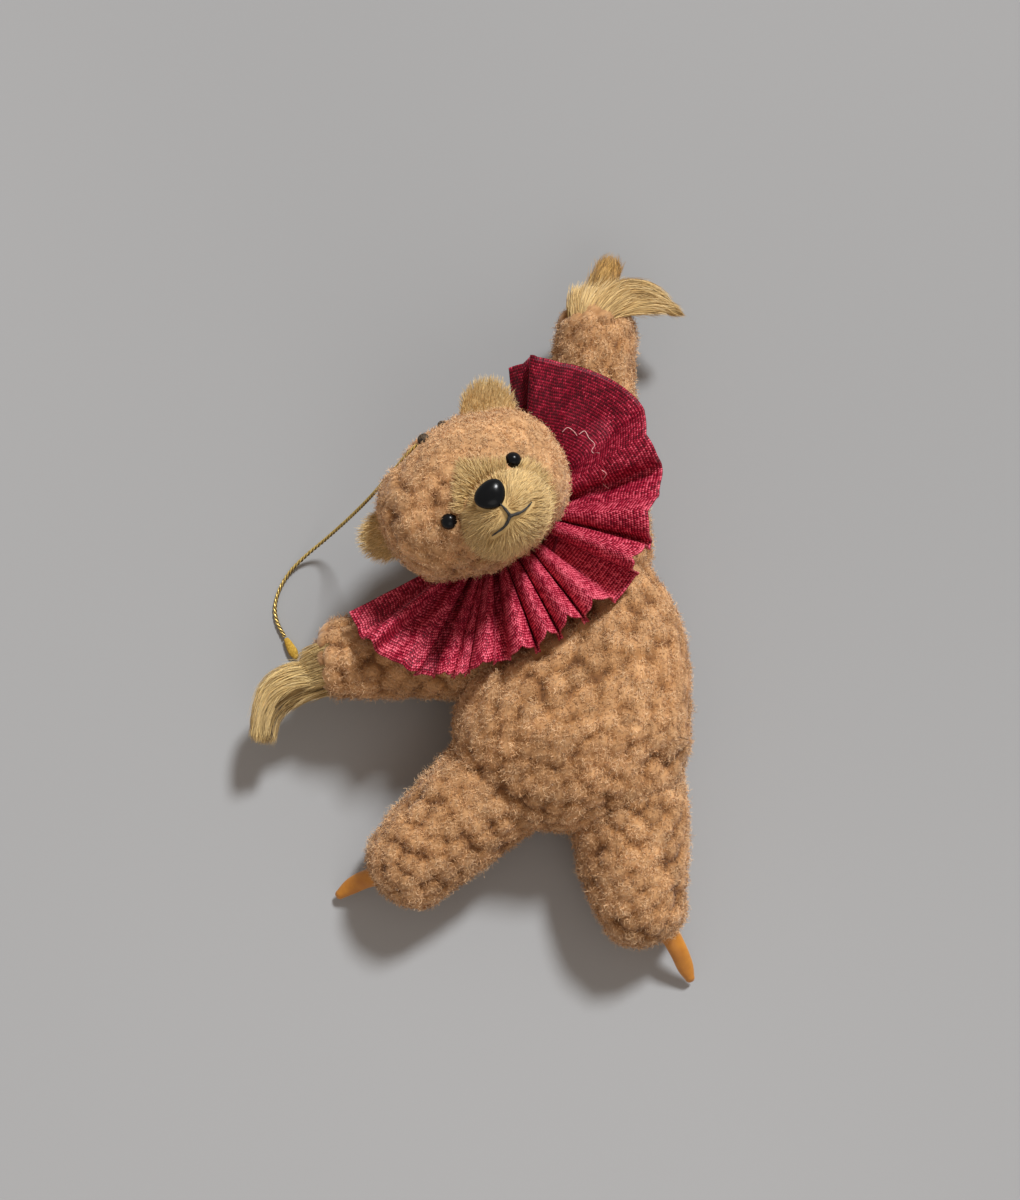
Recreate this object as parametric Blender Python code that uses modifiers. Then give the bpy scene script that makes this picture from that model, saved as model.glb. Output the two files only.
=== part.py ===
"""Ballerina teddy bear ornament: a small plush bear lying on its back, caught in a dance step.

The solids are a furry skin, stuffing and bendable armature wire for each part of the body, with mohair
paws, leather slippers, glass-like eyes and nose, a pleated ribbon ruff and a hanging cord.
World axes: +Z up out of the face, +Y towards the raised paw, +X towards the bear's left side.
Bench coordinates are in millimetres; at() turns them into metres about the part's origin.
"""

import math

import bmesh
import bpy
from mathutils import Matrix, Vector

MM = 0.001

# Where the middle of the bear's footprint lies on the bench, which becomes the part's origin
ORIGIN_X = 0.5
ORIGIN_Y = 1.0

# Clearance between neighbours, round a turning ball and round the stuffing, the thickness of the
# furry cloth, and how flat a soft back is pressed
GAP = 0.3
JOINT_GAP = 0.8
FILLING_GAP = 0.45
WALL = 1.5
PRESSED = 0.5

WIRE_RADIUS = 0.6
THREAD_RADIUS = 0.35

# Torso stations from seat to neck: x, y, half-width, half-thickness
TORSO = (
    (20.0, -30.0, 21.5, 13.0),
    (20.3, -22.0, 24.0, 14.5),
    (22.5, -9.0, 21.4, 13.6),
    (19.8, 1.5, 19.4, 11.6),
    (14.0, 9.2, 14.6, 9.6),
    (10.0, 14.4, 10.0, 8.0),
)
SEAT_ROUNDING = 12.0
NAPE_ROUNDING = 8.5

# The neck is a rounded stub that the head tilts about
NECK = (7.5, 18.0, 16.5)
NECK_RADIUS = 9.0
NECK_HALF_HEIGHT = 9.0
NECK_AROUND = 16
NECK_RINGS = 8

# How high the ruff is drawn up round the neck
RUFF_INNER_HEIGHT = 16.0

# Head: its middle, which lies over the ruff, how far the eye line leans, how much more of the head lies on
# the brow's side of that line than on the chin's, and stations along the line: distance towards the bear's
# left, half-height from brow to chin, half-depth
HEAD_OVER_RUFF = 14.0
HEAD = (1.6, 22.7, RUFF_INNER_HEIGHT + HEAD_OVER_RUFF)
HEAD_LEAN_DEG = 43.8
HEAD_BROW_RISE = 1.4
HEAD_STATIONS = (
    (-11.5, 12.0, 11.6),
    (-5.5, 14.2, 13.9),
    (0.0, 14.5, 14.5),
    (5.5, 14.2, 13.9),
    (10.5, 12.2, 11.8),
)
CHEEK_ROUNDING = 8.6

# Face, on the head's own axes: e towards the bear's left, u towards the brow, f out of the face
EYE_SPREAD = 8.5
EYE_DROP = 0.6
EYE_RADIUS = 1.65
EYE_STANDS = 0.5
SHANK_RADIUS = 0.5
SHANK_LENGTH = 3.6
MUZZLE_MIDDLE = (0.6, -6.4, 9.5)
MUZZLE_HALF = (8.8, 7.1, 10.5)
NOSE_U = -3.4
NOSE_HALF = (3.1, 2.7, 1.7)
NOSE_TAPER = 0.22
NOSE_SINKS = 0.65
MOUTH_FORK_U = -8.7
MOUTH_HALF_WIDTH = 4.9
MOUTH_RIGHT_CORNER_U = -9.4
MOUTH_LEFT_CORNER_U = -9.1
STITCH_STEPS = 5
EAR_HALF = (4.9, 5.2, 1.5)
EAR_LEFT_DEG = 38.5
EAR_RIGHT_DEG = 160.0
EAR_F = -2.5
KNOT_FRONT_EU = (-0.5, 14.6)
KNOT_BACK_EU = (5.0, 15.2)
KNOT_FRONT_RADIUS = 1.2
KNOT_BACK_RADIUS = 0.9

# The head's wire: how it rises and leans off the neck, then its way on the head's own axes: u, f
HEAD_WIRE_RISE = 2.5
HEAD_WIRE_LEAN = (-0.5, 0.4)
HEAD_WIRE_WAY = ((1.0, 2.0), (6.0, 2.5))
HEAD_WIRE_STEPS = 8

# Where the hip wire crosses the pelvis, half the spine wire's straight run over it, the turn it takes
# between the shoulders, and how far it has risen below the neck
PELVIS = (20.0, -17.0, 11.0)
SPINE_RUN = 8.0
SHOULDER_TURN = (14.0, 8.0)
SPINE_RISE = 2.0
WIRE_STEPS = 10

# Limbs: joint on the bench, heading and length from the joint to the cuff, then the form along it: share of
# the length, offset to the heading's right, z, half-width, half-thickness. The first half-width and
# half-thickness are the ball that turns in the torso's socket.
ARM_RIGHT_JOINT = (5.0, -7.0)
ARM_RIGHT_HEADING_DEG = -179.3
ARM_RIGHT_LENGTH = 31.5
ARM_RIGHT_FORM = (
    (0.0, 0.0, 12.5, 9.2, 8.4),
    (0.41, 0.4, 12.6, 8.5, 7.8),
    (0.73, 0.5, 12.8, 8.4, 7.7),
    (1.0, 0.0, 13.0, 7.9, 7.0),
)
ARM_LEFT_JOINT = (27.5, 15.0)
ARM_LEFT_HEADING_DEG = 92.3
ARM_LEFT_LENGTH = 47.0
ARM_LEFT_FORM = (
    (0.0, 0.0, 11.0, 9.2, 8.2),
    (0.32, -0.3, 10.6, 8.6, 7.6),
    (0.66, -1.3, 10.4, 8.6, 7.4),
    (1.0, 0.0, 10.8, 7.9, 6.8),
)
LEG_RIGHT_JOINT = (7.0, -31.0)
LEG_RIGHT_HEADING_DEG = -136.7
LEG_RIGHT_LENGTH = 28.6
LEG_RIGHT_FORM = (
    (0.0, 0.0, 10.0, 12.2, 10.5),
    (0.485, 0.2, 9.7, 10.7, 10.2),
    (0.855, 0.3, 9.2, 9.6, 9.7),
    (1.0, 0.0, 8.6, 8.9, 9.1),
)
LEG_LEFT_JOINT = (32.0, -38.0)
LEG_LEFT_HEADING_DEG = -82.1
LEG_LEFT_LENGTH = 21.7
LEG_LEFT_FORM = (
    (0.0, 0.0, 10.0, 11.6, 10.5),
    (0.46, 0.8, 9.7, 11.0, 10.2),
    (0.79, 0.5, 9.2, 9.7, 9.7),
    (1.0, 0.0, 8.4, 8.4, 8.9),
)
CUFF_ROUNDING = 6.2

# Mohair paws and leather slippers, from the cuff: distance along the limb's heading, offset to its
# right, z, half-width, half-thickness from root to tip
PAW_RIGHT_FORM = (
    (2.5, -3.8, 13.0, 3.0, 2.4),
    (6.1, -4.4, 13.0, 3.3, 2.6),
    (10.2, -5.3, 13.0, 3.9, 2.9),
    (13.8, -7.4, 12.7, 3.7, 2.7),
    (16.0, -11.2, 12.0, 2.7, 2.1),
    (16.8, -14.8, 11.2, 1.9, 1.5),
)
PAW_LEFT_FORM = (
    (2.4, 2.7, 12.5, 3.2, 2.6),
    (6.0, 5.6, 12.7, 3.4, 2.7),
    (6.5, 9.7, 12.7, 3.0, 2.4),
    (5.1, 13.2, 12.5, 2.1, 1.8),
    (3.9, 15.4, 12.3, 1.2, 1.1),
)
THUMB_FORM = (
    (2.0, 0.7, 12.2, 2.6, 2.0),
    (8.4, 1.7, 12.4, 2.8, 1.9),
    (12.5, 3.2, 12.5, 2.4, 1.6),
)
PAW_ROUNDING = 1.8
FOOT_RIGHT_FORM = (
    (4.2, 2.4, 8.2, 1.4, 1.3),
    (7.8, 4.3, 7.0, 1.7, 1.2),
    (11.2, 5.3, 5.6, 1.75, 1.0),
    (14.1, 5.7, 4.6, 1.3, 0.8),
)
FOOT_LEFT_FORM = (
    (5.2, -4.7, 8.2, 1.5, 1.3),
    (9.2, -6.2, 7.0, 1.7, 1.2),
    (12.6, -7.2, 5.6, 1.75, 1.0),
    (15.0, -7.9, 4.6, 1.3, 0.8),
)
FOOT_ROUNDING = 1.0

# Ribbon ruff: an open fan of pleats round the neck. Rim stations: angle, radius and height of the rim
RUFF_RIM = (
    (90.0, 33.1, 23.0),
    (70.0, 35.5, 23.3),
    (48.0, 35.9, 24.2),
    (25.0, 32.5, 25.6),
    (3.0, 28.3, 27.2),
    (-17.0, 26.0, 28.2),
    (-37.0, 24.5, 28.8),
    (-57.0, 23.5, 28.9),
    (-79.0, 24.9, 28.7),
    (-96.0, 27.2, 28.0),
    (-110.0, 31.3, 27.0),
    (-130.0, 35.5, 25.8),
    (-152.0, 36.3, 24.4),
)
RUFF_CRESTS_DEG = (90, 66, 44, 24, 6, -10, -24, -36, -48, -60, -72, -84, -96, -108, -122, -138, -152)
RUFF_CLOTH = 0.5
RUFF_INNER_RISE = 3.8
RUFF_RISE_DEG = -50.0
RUFF_SWEEP = 0.88
PLEAT_AT_NECK = 0.35
PLEAT_AT_RIM = 1.7
STEPS_PER_PLEAT = 6
RUFF_ROWS = 3
GATHER_STEPS = 30

# Hanging cord, from the front knot down to the surface beside the bear and up to its end sleeve
CORD_RADIUS = 0.42
CORD_ROUTE = (
    (-10.5, 32.3, 36.8),
    (-12.1, 30.9, 35.9),
    (-14.0, 29.4, 33.2),
    (-16.9, 27.4, 27.8),
    (-21.3, 24.5, 19.5),
    (-26.3, 21.6, 11.0),
    (-31.4, 18.4, 5.0),
    (-36.2, 15.0, 1.9),
    (-39.5, 11.8, 0.8),
    (-41.7, 8.1, 0.55),
    (-42.6, 4.4, 0.55),
    (-42.1, 1.1, 0.6),
    (-40.4, -2.1, 0.8),
)
CORD_STEPS = 40
SLEEVE_LENGTH = 4.1
SLEEVE_HALF = (1.0, 0.7)
# Share of the sleeve's length, and of its full width there
SLEEVE_PROFILE = ((0.0, 0.55), (0.35, 0.85), (0.75, 1.0), (1.0, 0.7))
SLEEVE_CAPS = (0.3, 0.6)

# Colours, roughness and metallic of each finish
FINISHES = {
    "plush": ((0.47, 0.24, 0.11), 0.95, 0.0),
    "mohair": ((0.62, 0.41, 0.17), 0.9, 0.0),
    "stuffing": ((0.85, 0.83, 0.78), 1.0, 0.0),
    "wire": ((0.35, 0.35, 0.36), 0.4, 1.0),
    "gloss_black": ((0.01, 0.01, 0.012), 0.12, 0.0),
    "black_thread": ((0.02, 0.017, 0.015), 0.8, 0.0),
    "ribbon": ((0.35, 0.012, 0.04), 0.45, 0.0),
    "ribbon_thread": ((0.3, 0.015, 0.04), 0.8, 0.0),
    "slipper_leather": ((0.5, 0.22, 0.035), 0.5, 0.0),
    "gold_cord": ((0.42, 0.29, 0.08), 0.35, 0.7),
    "brown_knot": ((0.06, 0.03, 0.015), 0.8, 0.0),
    "sleeve": ((0.5, 0.32, 0.05), 0.5, 0.0),
}


def at(x, y, z):
    """A bench point in millimetres as a point of the part in metres."""
    return Vector(((x - ORIGIN_X) * MM, (y - ORIGIN_Y) * MM, z * MM))


def along_heading(start, heading_deg, form):
    """Bench stations of a form given along a heading: distance, offset to the right, z and half-sizes."""
    heading = math.radians(heading_deg)
    ahead_x, ahead_y = math.cos(heading), math.sin(heading)
    stations = []
    for distance, offset, *rest in form:
        x = start[0] + ahead_x * distance + ahead_y * offset
        y = start[1] + ahead_y * distance - ahead_x * offset
        stations.append((x, y, *rest))
    return tuple(stations)


def limb_stations(joint, heading_deg, length, form):
    """Bench stations of a limb, whose form is given by shares of its length."""
    return along_heading(joint, heading_deg, [(share * length, *rest) for share, *rest in form])


def clear_scene():
    for old in list(bpy.data.objects):
        bpy.data.objects.remove(old, do_unlink=True)


def new_collection(name):
    collection = bpy.data.collections.new(name)
    bpy.context.scene.collection.children.link(collection)
    return collection


def finish_material(name):
    """The material of a finish, made once."""
    if name in bpy.data.materials:
        return bpy.data.materials[name]
    colour, roughness, metallic = FINISHES[name]
    material = bpy.data.materials.new(name)
    material.use_nodes = True
    shader = material.node_tree.nodes["Principled BSDF"]
    shader.inputs["Base Color"].default_value = (*colour, 1.0)
    shader.inputs["Roughness"].default_value = roughness
    shader.inputs["Metallic"].default_value = metallic
    material.diffuse_color = (*colour, 1.0)
    return material


def part(name, bm, finish):
    """A finished piece from a bmesh, smooth shaded, in the parts collection."""
    if bm.calc_volume(signed=True) < 0.0:
        bmesh.ops.reverse_faces(bm, faces=bm.faces)
    mesh = bpy.data.meshes.new(name)
    bm.to_mesh(mesh)
    bm.free()
    mesh.shade_smooth()
    obj = bpy.data.objects.new(name, mesh)
    if finish is None:
        cutters.objects.link(obj)
        obj.hide_render = True
        obj.display_type = "WIRE"
    else:
        mesh.materials.append(finish_material(finish))
        parts.objects.link(obj)
    return obj


def boolean(piece, other, operation):
    modifier = piece.modifiers.new(operation.title() + " " + other.name, "BOOLEAN")
    modifier.operation = operation
    modifier.solver = "EXACT"
    modifier.object = other


def cut(piece, *others):
    for other in others:
        boolean(piece, other, "DIFFERENCE")


def through(stations, t):
    """The Catmull-Rom curve through the stations, at t from 0 to the last station's index."""
    last = len(stations) - 1
    i = min(int(t), last - 1)
    f = t - i
    before = stations[max(i - 1, 0)]
    here = stations[i]
    there = stations[i + 1]
    after = stations[min(i + 2, last)]
    value = []
    for p, a, b, q in zip(before, here, there, after):
        rise = (b - p) / 2
        fall = (q - a) / 2
        value.append(
            a + rise * f + (3 * (b - a) - 2 * rise - fall) * f * f + (2 * (a - b) + rise + fall) * f**3
        )
    return value


def plush(name, stations, caps, finish, grow=0.0, around=20, rings=7, cap_rings=4):
    """A closed form that swells and tapers along its stations, with rounded ends.

    It is a sphere whose rings are laid along the curve through the stations. grow moves its whole
    surface out, or in where it is negative, by that many millimetres.
    """
    start_cap, end_cap = (max(cap + grow, 0.2) for cap in caps)
    last = len(stations) - 1
    total = rings + 2 * cap_rings
    bm = bmesh.new()
    bmesh.ops.create_uvsphere(bm, u_segments=around, v_segments=total, radius=1.0)
    for vert in bm.verts:
        ring = round(math.acos(max(-1.0, min(1.0, vert.co.z))) / math.pi * total)
        turn = math.atan2(vert.co.y, vert.co.x)
        along = min(max((ring - cap_rings) / rings, 0.0), 1.0) * last
        x, y, z, width, height = through(stations, along)
        ahead = through(stations, min(along + 0.02, last))
        behind = through(stations, max(along - 0.02, 0.0))
        heading = Vector((ahead[0] - behind[0], ahead[1] - behind[1], 0.0)).normalized()
        rise = (ahead[2] - behind[2]) / max(
            math.hypot(ahead[0] - behind[0], ahead[1] - behind[1]), 1e-6
        )
        side = Vector((heading.y, -heading.x, 0.0))
        full, shift = 1.0, 0.0
        if ring < cap_rings:
            angle = math.pi / 2 * ring / cap_rings
            full, shift = math.sin(angle), -start_cap * math.cos(angle)
        elif ring > total - cap_rings:
            angle = math.pi / 2 * (total - ring) / cap_rings
            full, shift = math.sin(angle), end_cap * math.cos(angle)
        centre = Vector((x, y, z)) + heading * shift + Vector((0.0, 0.0, rise * shift))
        width = (width + grow) * full
        height = (height + grow) * full
        spot = centre + side * width * math.cos(turn) + Vector((0.0, 0.0, height * math.sin(turn)))
        vert.co = at(*spot)
    return part(name, bm, finish)


def ball(name, centre, radius, half_height, finish, around=24, rings=12):
    """A ball round an upright axis, flattened or stretched along it."""
    bm = bmesh.new()
    bmesh.ops.create_uvsphere(bm, u_segments=around, v_segments=rings, radius=1.0)
    for vert in bm.verts:
        spot = (
            centre[0] + vert.co.x * radius,
            centre[1] + vert.co.y * radius,
            centre[2] + vert.co.z * half_height,
        )
        vert.co = at(*spot)
    return part(name, bm, finish)


def tube(name, points, radius, finish, resolution=2):
    """A round tube along bench points, as a closed mesh."""
    curve = bpy.data.curves.new(name, "CURVE")
    curve.dimensions = "3D"
    curve.bevel_depth = radius * MM
    curve.bevel_resolution = resolution
    curve.use_fill_caps = True
    spline = curve.splines.new("POLY")
    spline.points.add(len(points) - 1)
    for point, spot in zip(spline.points, points):
        point.co = (*at(*spot), 1.0)
    guide = bpy.data.objects.new(name + "_guide", curve)
    bpy.context.scene.collection.objects.link(guide)
    bpy.context.view_layer.update()
    graph = bpy.context.evaluated_depsgraph_get()
    mesh = bpy.data.meshes.new_from_object(guide.evaluated_get(graph))
    bpy.data.objects.remove(guide, do_unlink=True)
    bm = bmesh.new()
    bm.from_mesh(mesh)
    bpy.data.meshes.remove(mesh)
    bmesh.ops.remove_doubles(bm, verts=bm.verts, dist=1e-6)
    return part(name, bm, finish)


def curved(points, steps):
    """Even steps along the smooth curve through bench points."""
    last = len(points) - 1
    return [through(points, last * i / steps) for i in range(steps + 1)]


def towards(start, goal, distance):
    """The point at a distance from start on the way to goal, at start's height."""
    way = Vector((goal[0] - start[0], goal[1] - start[1], 0.0)).normalized()
    return (start[0] + way.x * distance, start[1] + way.y * distance, start[2])


def head_axes():
    lean = math.radians(HEAD_LEAN_DEG)
    left = Vector((math.cos(lean), math.sin(lean), 0.0))
    brow = Vector((-math.sin(lean), math.cos(lean), 0.0))
    return left, brow


def on_head(e, u, f):
    """A bench point from the head's own axes."""
    left, brow = head_axes()
    return Vector(HEAD) + left * e + brow * u + Vector((0.0, 0.0, f))


def head_surface(e, u):
    """How far out of the head's middle its face lies at e, u."""
    reach = HEAD_STATIONS[-1][0] - HEAD_STATIONS[0][0]
    middle = HEAD_STATIONS[len(HEAD_STATIONS) // 2]
    half = reach / 2 + CHEEK_ROUNDING
    rise = (u - HEAD_BROW_RISE) / middle[1]
    return middle[2] * math.sqrt(max(1.0 - (e / half) ** 2 - rise**2, 0.0))


def muzzle_surface(e, u):
    """How far out of the head's middle the muzzle lies at e, u."""
    a = (e - MUZZLE_MIDDLE[0]) / MUZZLE_HALF[0]
    b = (u - MUZZLE_MIDDLE[1]) / MUZZLE_HALF[1]
    return MUZZLE_MIDDLE[2] + MUZZLE_HALF[2] * math.sqrt(max(1.0 - a * a - b * b, 0.0))


def head_ball(name, middle, half, finish, turn_deg=0.0, grow=0.0, around=20, rings=10, taper=0.0):
    """An ellipsoid on the head's axes, turned in the face plane, narrower towards -u by taper."""
    bm = bmesh.new()
    bmesh.ops.create_uvsphere(bm, u_segments=around, v_segments=rings, radius=1.0)
    spin = Matrix.Rotation(math.radians(turn_deg), 3, "Z")
    for vert in bm.verts:
        narrow = 1.0 + taper * vert.co.y
        local = spin @ Vector(
            (
                vert.co.x * (half[0] + grow) * narrow,
                vert.co.y * (half[1] + grow),
                vert.co.z * (half[2] + grow),
            )
        )
        vert.co = at(*on_head(middle[0] + local.x, middle[1] + local.y, middle[2] + local.z))
    return part(name, bm, finish)


def torso_stations():
    """Torso stations with their height, so that the back lies pressed on the surface."""
    return [(x, y, half - PRESSED, width, half) for x, y, width, half in TORSO]


def head_stations():
    rows = []
    for e, brow_half, depth in HEAD_STATIONS:
        rows.append((*on_head(e, HEAD_BROW_RISE, 0.0), brow_half, depth))
    return rows


def floor_cutter():
    bm = bmesh.new()
    bmesh.ops.create_cube(bm, size=1.0)
    for vert in bm.verts:
        vert.co = Vector((vert.co.x * 0.4, vert.co.y * 0.4, (vert.co.z - 0.5) * 0.02))
    return part("floor_cutter", bm, None)


def socket_clearances(name):
    """How much wider than its ball a socket is, then its wall's far side, then the hollow in the stuffing."""
    return (
        (name + "_skin", JOINT_GAP),
        (name + "_wall", JOINT_GAP + WALL),
        (name + "_fill", JOINT_GAP + WALL + FILLING_GAP),
    )


def limb_caps(stations):
    return (stations[0][3], CUFF_ROUNDING)


def limb_wire_points(stations, entry):
    """A limb's wire, from the side of its ball that faces entry, through the joint, to the cuff."""
    joint = stations[0][:3]
    first = towards(joint, entry, stations[0][3] - GAP)
    rest = [station[:3] for station in stations[1:]]
    return curved([first, joint, *rest], WIRE_STEPS)


def make_limb(name, stations, wire_entry, lies_down):
    """Skin, stuffing and wire of a limb, and the cutters that make its socket in the torso."""
    caps = limb_caps(stations)
    joint = stations[0]
    wire_points = limb_wire_points(stations, wire_entry)
    wire = tube(name + "_wire", wire_points, WIRE_RADIUS, "wire", 1)
    start = towards(joint[:3], wire_entry, joint[3] + WALL)
    bore = tube(name + "_wire_bore", [start, *wire_points], WIRE_RADIUS + GAP, None, 1)
    far_end = through(stations, len(stations) - 1)
    tip = ball(name + "_bore_end", far_end[:3], WIRE_RADIUS + 2 * GAP, WIRE_RADIUS + 2 * GAP, None, 8, 6)
    skin = plush(name + "_skin", stations, caps, "plush", around=18, rings=6)
    cavity = plush(name + "_cavity", stations, caps, None, grow=-WALL, around=12, rings=5)
    stuffing = plush(
        name + "_stuffing", stations, caps, "stuffing", grow=-WALL - FILLING_GAP, around=12, rings=5
    )
    if lies_down:
        cut(skin, floor_box)
    cut(skin, cavity, bore)
    cut(stuffing, bore, tip)
    sockets = []
    for label, extra in socket_clearances(name + "_socket"):
        sockets.append(plush(label, stations, caps, None, grow=extra, around=16, rings=5))
    return [skin, stuffing, wire], sockets


def make_torso(sockets):
    """Torso skin with its neck stub and sockets, its stuffing, and the three wires inside."""
    caps = (SEAT_ROUNDING, NAPE_ROUNDING)
    stations = torso_stations()
    skin = plush("torso_skin", stations, caps, "plush", around=24, rings=8)
    cavity = plush("torso_cavity", stations, caps, None, grow=-WALL, around=14, rings=6)
    stuffing = plush(
        "torso_stuffing", stations, caps, "stuffing", grow=-WALL - FILLING_GAP, around=14, rings=6
    )
    stub = ball("neck_stub", NECK, NECK_RADIUS, NECK_HALF_HEIGHT, None, NECK_AROUND, NECK_RINGS)
    boolean(skin, stub, "UNION")
    cut(skin, floor_box)
    for outer, wall, fill in sockets:
        cut(skin, outer)
        cut(cavity, wall)
        cut(stuffing, fill)
    cut(skin, cavity)

    shoulder_z = (ARM_RIGHT[0][2] + ARM_LEFT[0][2]) / 2
    shoulder_ends = (
        towards(ARM_RIGHT[0][:3], ARM_LEFT[0], ARM_RIGHT[0][3] + JOINT_GAP + GAP),
        towards(ARM_LEFT[0][:3], ARM_RIGHT[0], ARM_LEFT[0][3] + JOINT_GAP + GAP),
    )
    hip_ends = (
        towards(LEG_RIGHT[0][:3], PELVIS, LEG_RIGHT[0][3] + JOINT_GAP + GAP),
        towards(LEG_LEFT[0][:3], PELVIS, LEG_LEFT[0][3] + JOINT_GAP + GAP),
    )
    neck_top = (NECK[0], NECK[1], NECK[2] + NECK_HALF_HEIGHT - GAP)
    spine_z = shoulder_z + 2 * WIRE_RADIUS + 2 * GAP
    routes = {
        "shoulder_wire": [shoulder_ends[0], shoulder_ends[1]],
        "hip_wire": curved([hip_ends[0], PELVIS, hip_ends[1]], WIRE_STEPS),
        "spine_wire": curved(
            [
                (PELVIS[0], PELVIS[1] - SPINE_RUN, spine_z),
                (PELVIS[0], PELVIS[1] + SPINE_RUN, spine_z),
                (*SHOULDER_TURN, spine_z),
                (NECK[0] + WIRE_RADIUS, NECK[1] - 2 * WIRE_RADIUS, spine_z + SPINE_RISE),
                (NECK[0], NECK[1], NECK[2] + NECK_HALF_HEIGHT / 3),
                neck_top,
            ],
            WIRE_STEPS,
        ),
    }
    for name, route in routes.items():
        tube(name, route, WIRE_RADIUS, "wire", 1)
        first = Vector(route[0]) + (Vector(route[0]) - Vector(route[1])).normalized() * WALL
        last = Vector(route[-1]) + (Vector(route[-1]) - Vector(route[-2])).normalized() * WALL
        bore = tube(name + "_bore", [first, *route, last], WIRE_RADIUS + GAP, None, 1)
        cut(skin, bore)
        cut(stuffing, bore)


def make_head():
    """Head skin, stuffing and wire, with the socket that takes the neck stub."""
    caps = (CHEEK_ROUNDING, CHEEK_ROUNDING)
    stations = head_stations()
    skin = plush("head_skin", stations, caps, "plush", around=24, rings=6)
    cavity = plush("head_cavity", stations, caps, None, grow=-WALL, around=14, rings=5)
    stuffing = plush(
        "head_stuffing", stations, caps, "stuffing", grow=-WALL - FILLING_GAP, around=14, rings=5
    )
    sockets = []
    for label, extra in socket_clearances("neck"):
        radius, half_height = NECK_RADIUS + extra, NECK_HALF_HEIGHT + extra
        sockets.append(ball(label, NECK, radius, half_height, None, NECK_AROUND, NECK_RINGS))
    cut(cavity, sockets[1])
    cut(stuffing, sockets[2])
    cut(skin, sockets[0], cavity)
    foot = NECK[2] + NECK_HALF_HEIGHT + JOINT_GAP + GAP
    lean_x, lean_y = HEAD_WIRE_LEAN
    route = [
        (NECK[0], NECK[1], foot),
        (NECK[0] + lean_x, NECK[1] + lean_y, foot + HEAD_WIRE_RISE),
        *[tuple(on_head(0.0, u, f)) for u, f in HEAD_WIRE_WAY],
    ]
    wire = tube("head_wire", curved(route, HEAD_WIRE_STEPS), WIRE_RADIUS, "wire", 1)
    below = (NECK[0], NECK[1], foot - WALL)
    way = [below, *curved(route, HEAD_WIRE_STEPS)]
    bore = tube("head_wire_bore", way, WIRE_RADIUS + GAP, None, 1)
    end = ball("head_bore_end", route[-1], WIRE_RADIUS + 2 * GAP, WIRE_RADIUS + 2 * GAP, None, 8, 6)
    cut(skin, bore)
    cut(stuffing, bore, end)
    fat_head = plush("head_clearance", stations, caps, None, grow=GAP, around=24, rings=6)
    return skin, stuffing, wire, fat_head


def outward(e, u):
    """The direction out of the head's surface at e, u, on bench axes."""
    left, brow = head_axes()
    step = 0.05
    slope_e = (head_surface(e + step, u) - head_surface(e - step, u)) / (2 * step)
    slope_u = (head_surface(e, u + step) - head_surface(e, u - step)) / (2 * step)
    return (Vector((0.0, 0.0, 1.0)) - left * slope_e - brow * slope_u).normalized()


def make_eye(name, e, skin, stuffing):
    """A shiny bead on a shank pushed through the skin."""
    u = -EYE_DROP
    surface = on_head(e, u, head_surface(e, u))
    out = outward(e, u)
    centre = surface + out * (EYE_STANDS - EYE_RADIUS * 0.5)
    shank_end = centre - out * SHANK_LENGTH
    bead = ball(name, centre, EYE_RADIUS, EYE_RADIUS, "gloss_black", 12, 8)
    shank = tube(name + "_shank", [centre, shank_end], SHANK_RADIUS, None, 1)
    boolean(bead, shank, "UNION")
    seat = ball(name + "_seat", centre, EYE_RADIUS + GAP, EYE_RADIUS + GAP, None, 12, 8)
    hole = tube(
        name + "_hole", [centre, shank_end - out * GAP], SHANK_RADIUS + GAP, None, 1
    )
    cut(skin, seat, hole)
    cut(stuffing, seat, hole)
    return bead


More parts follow.
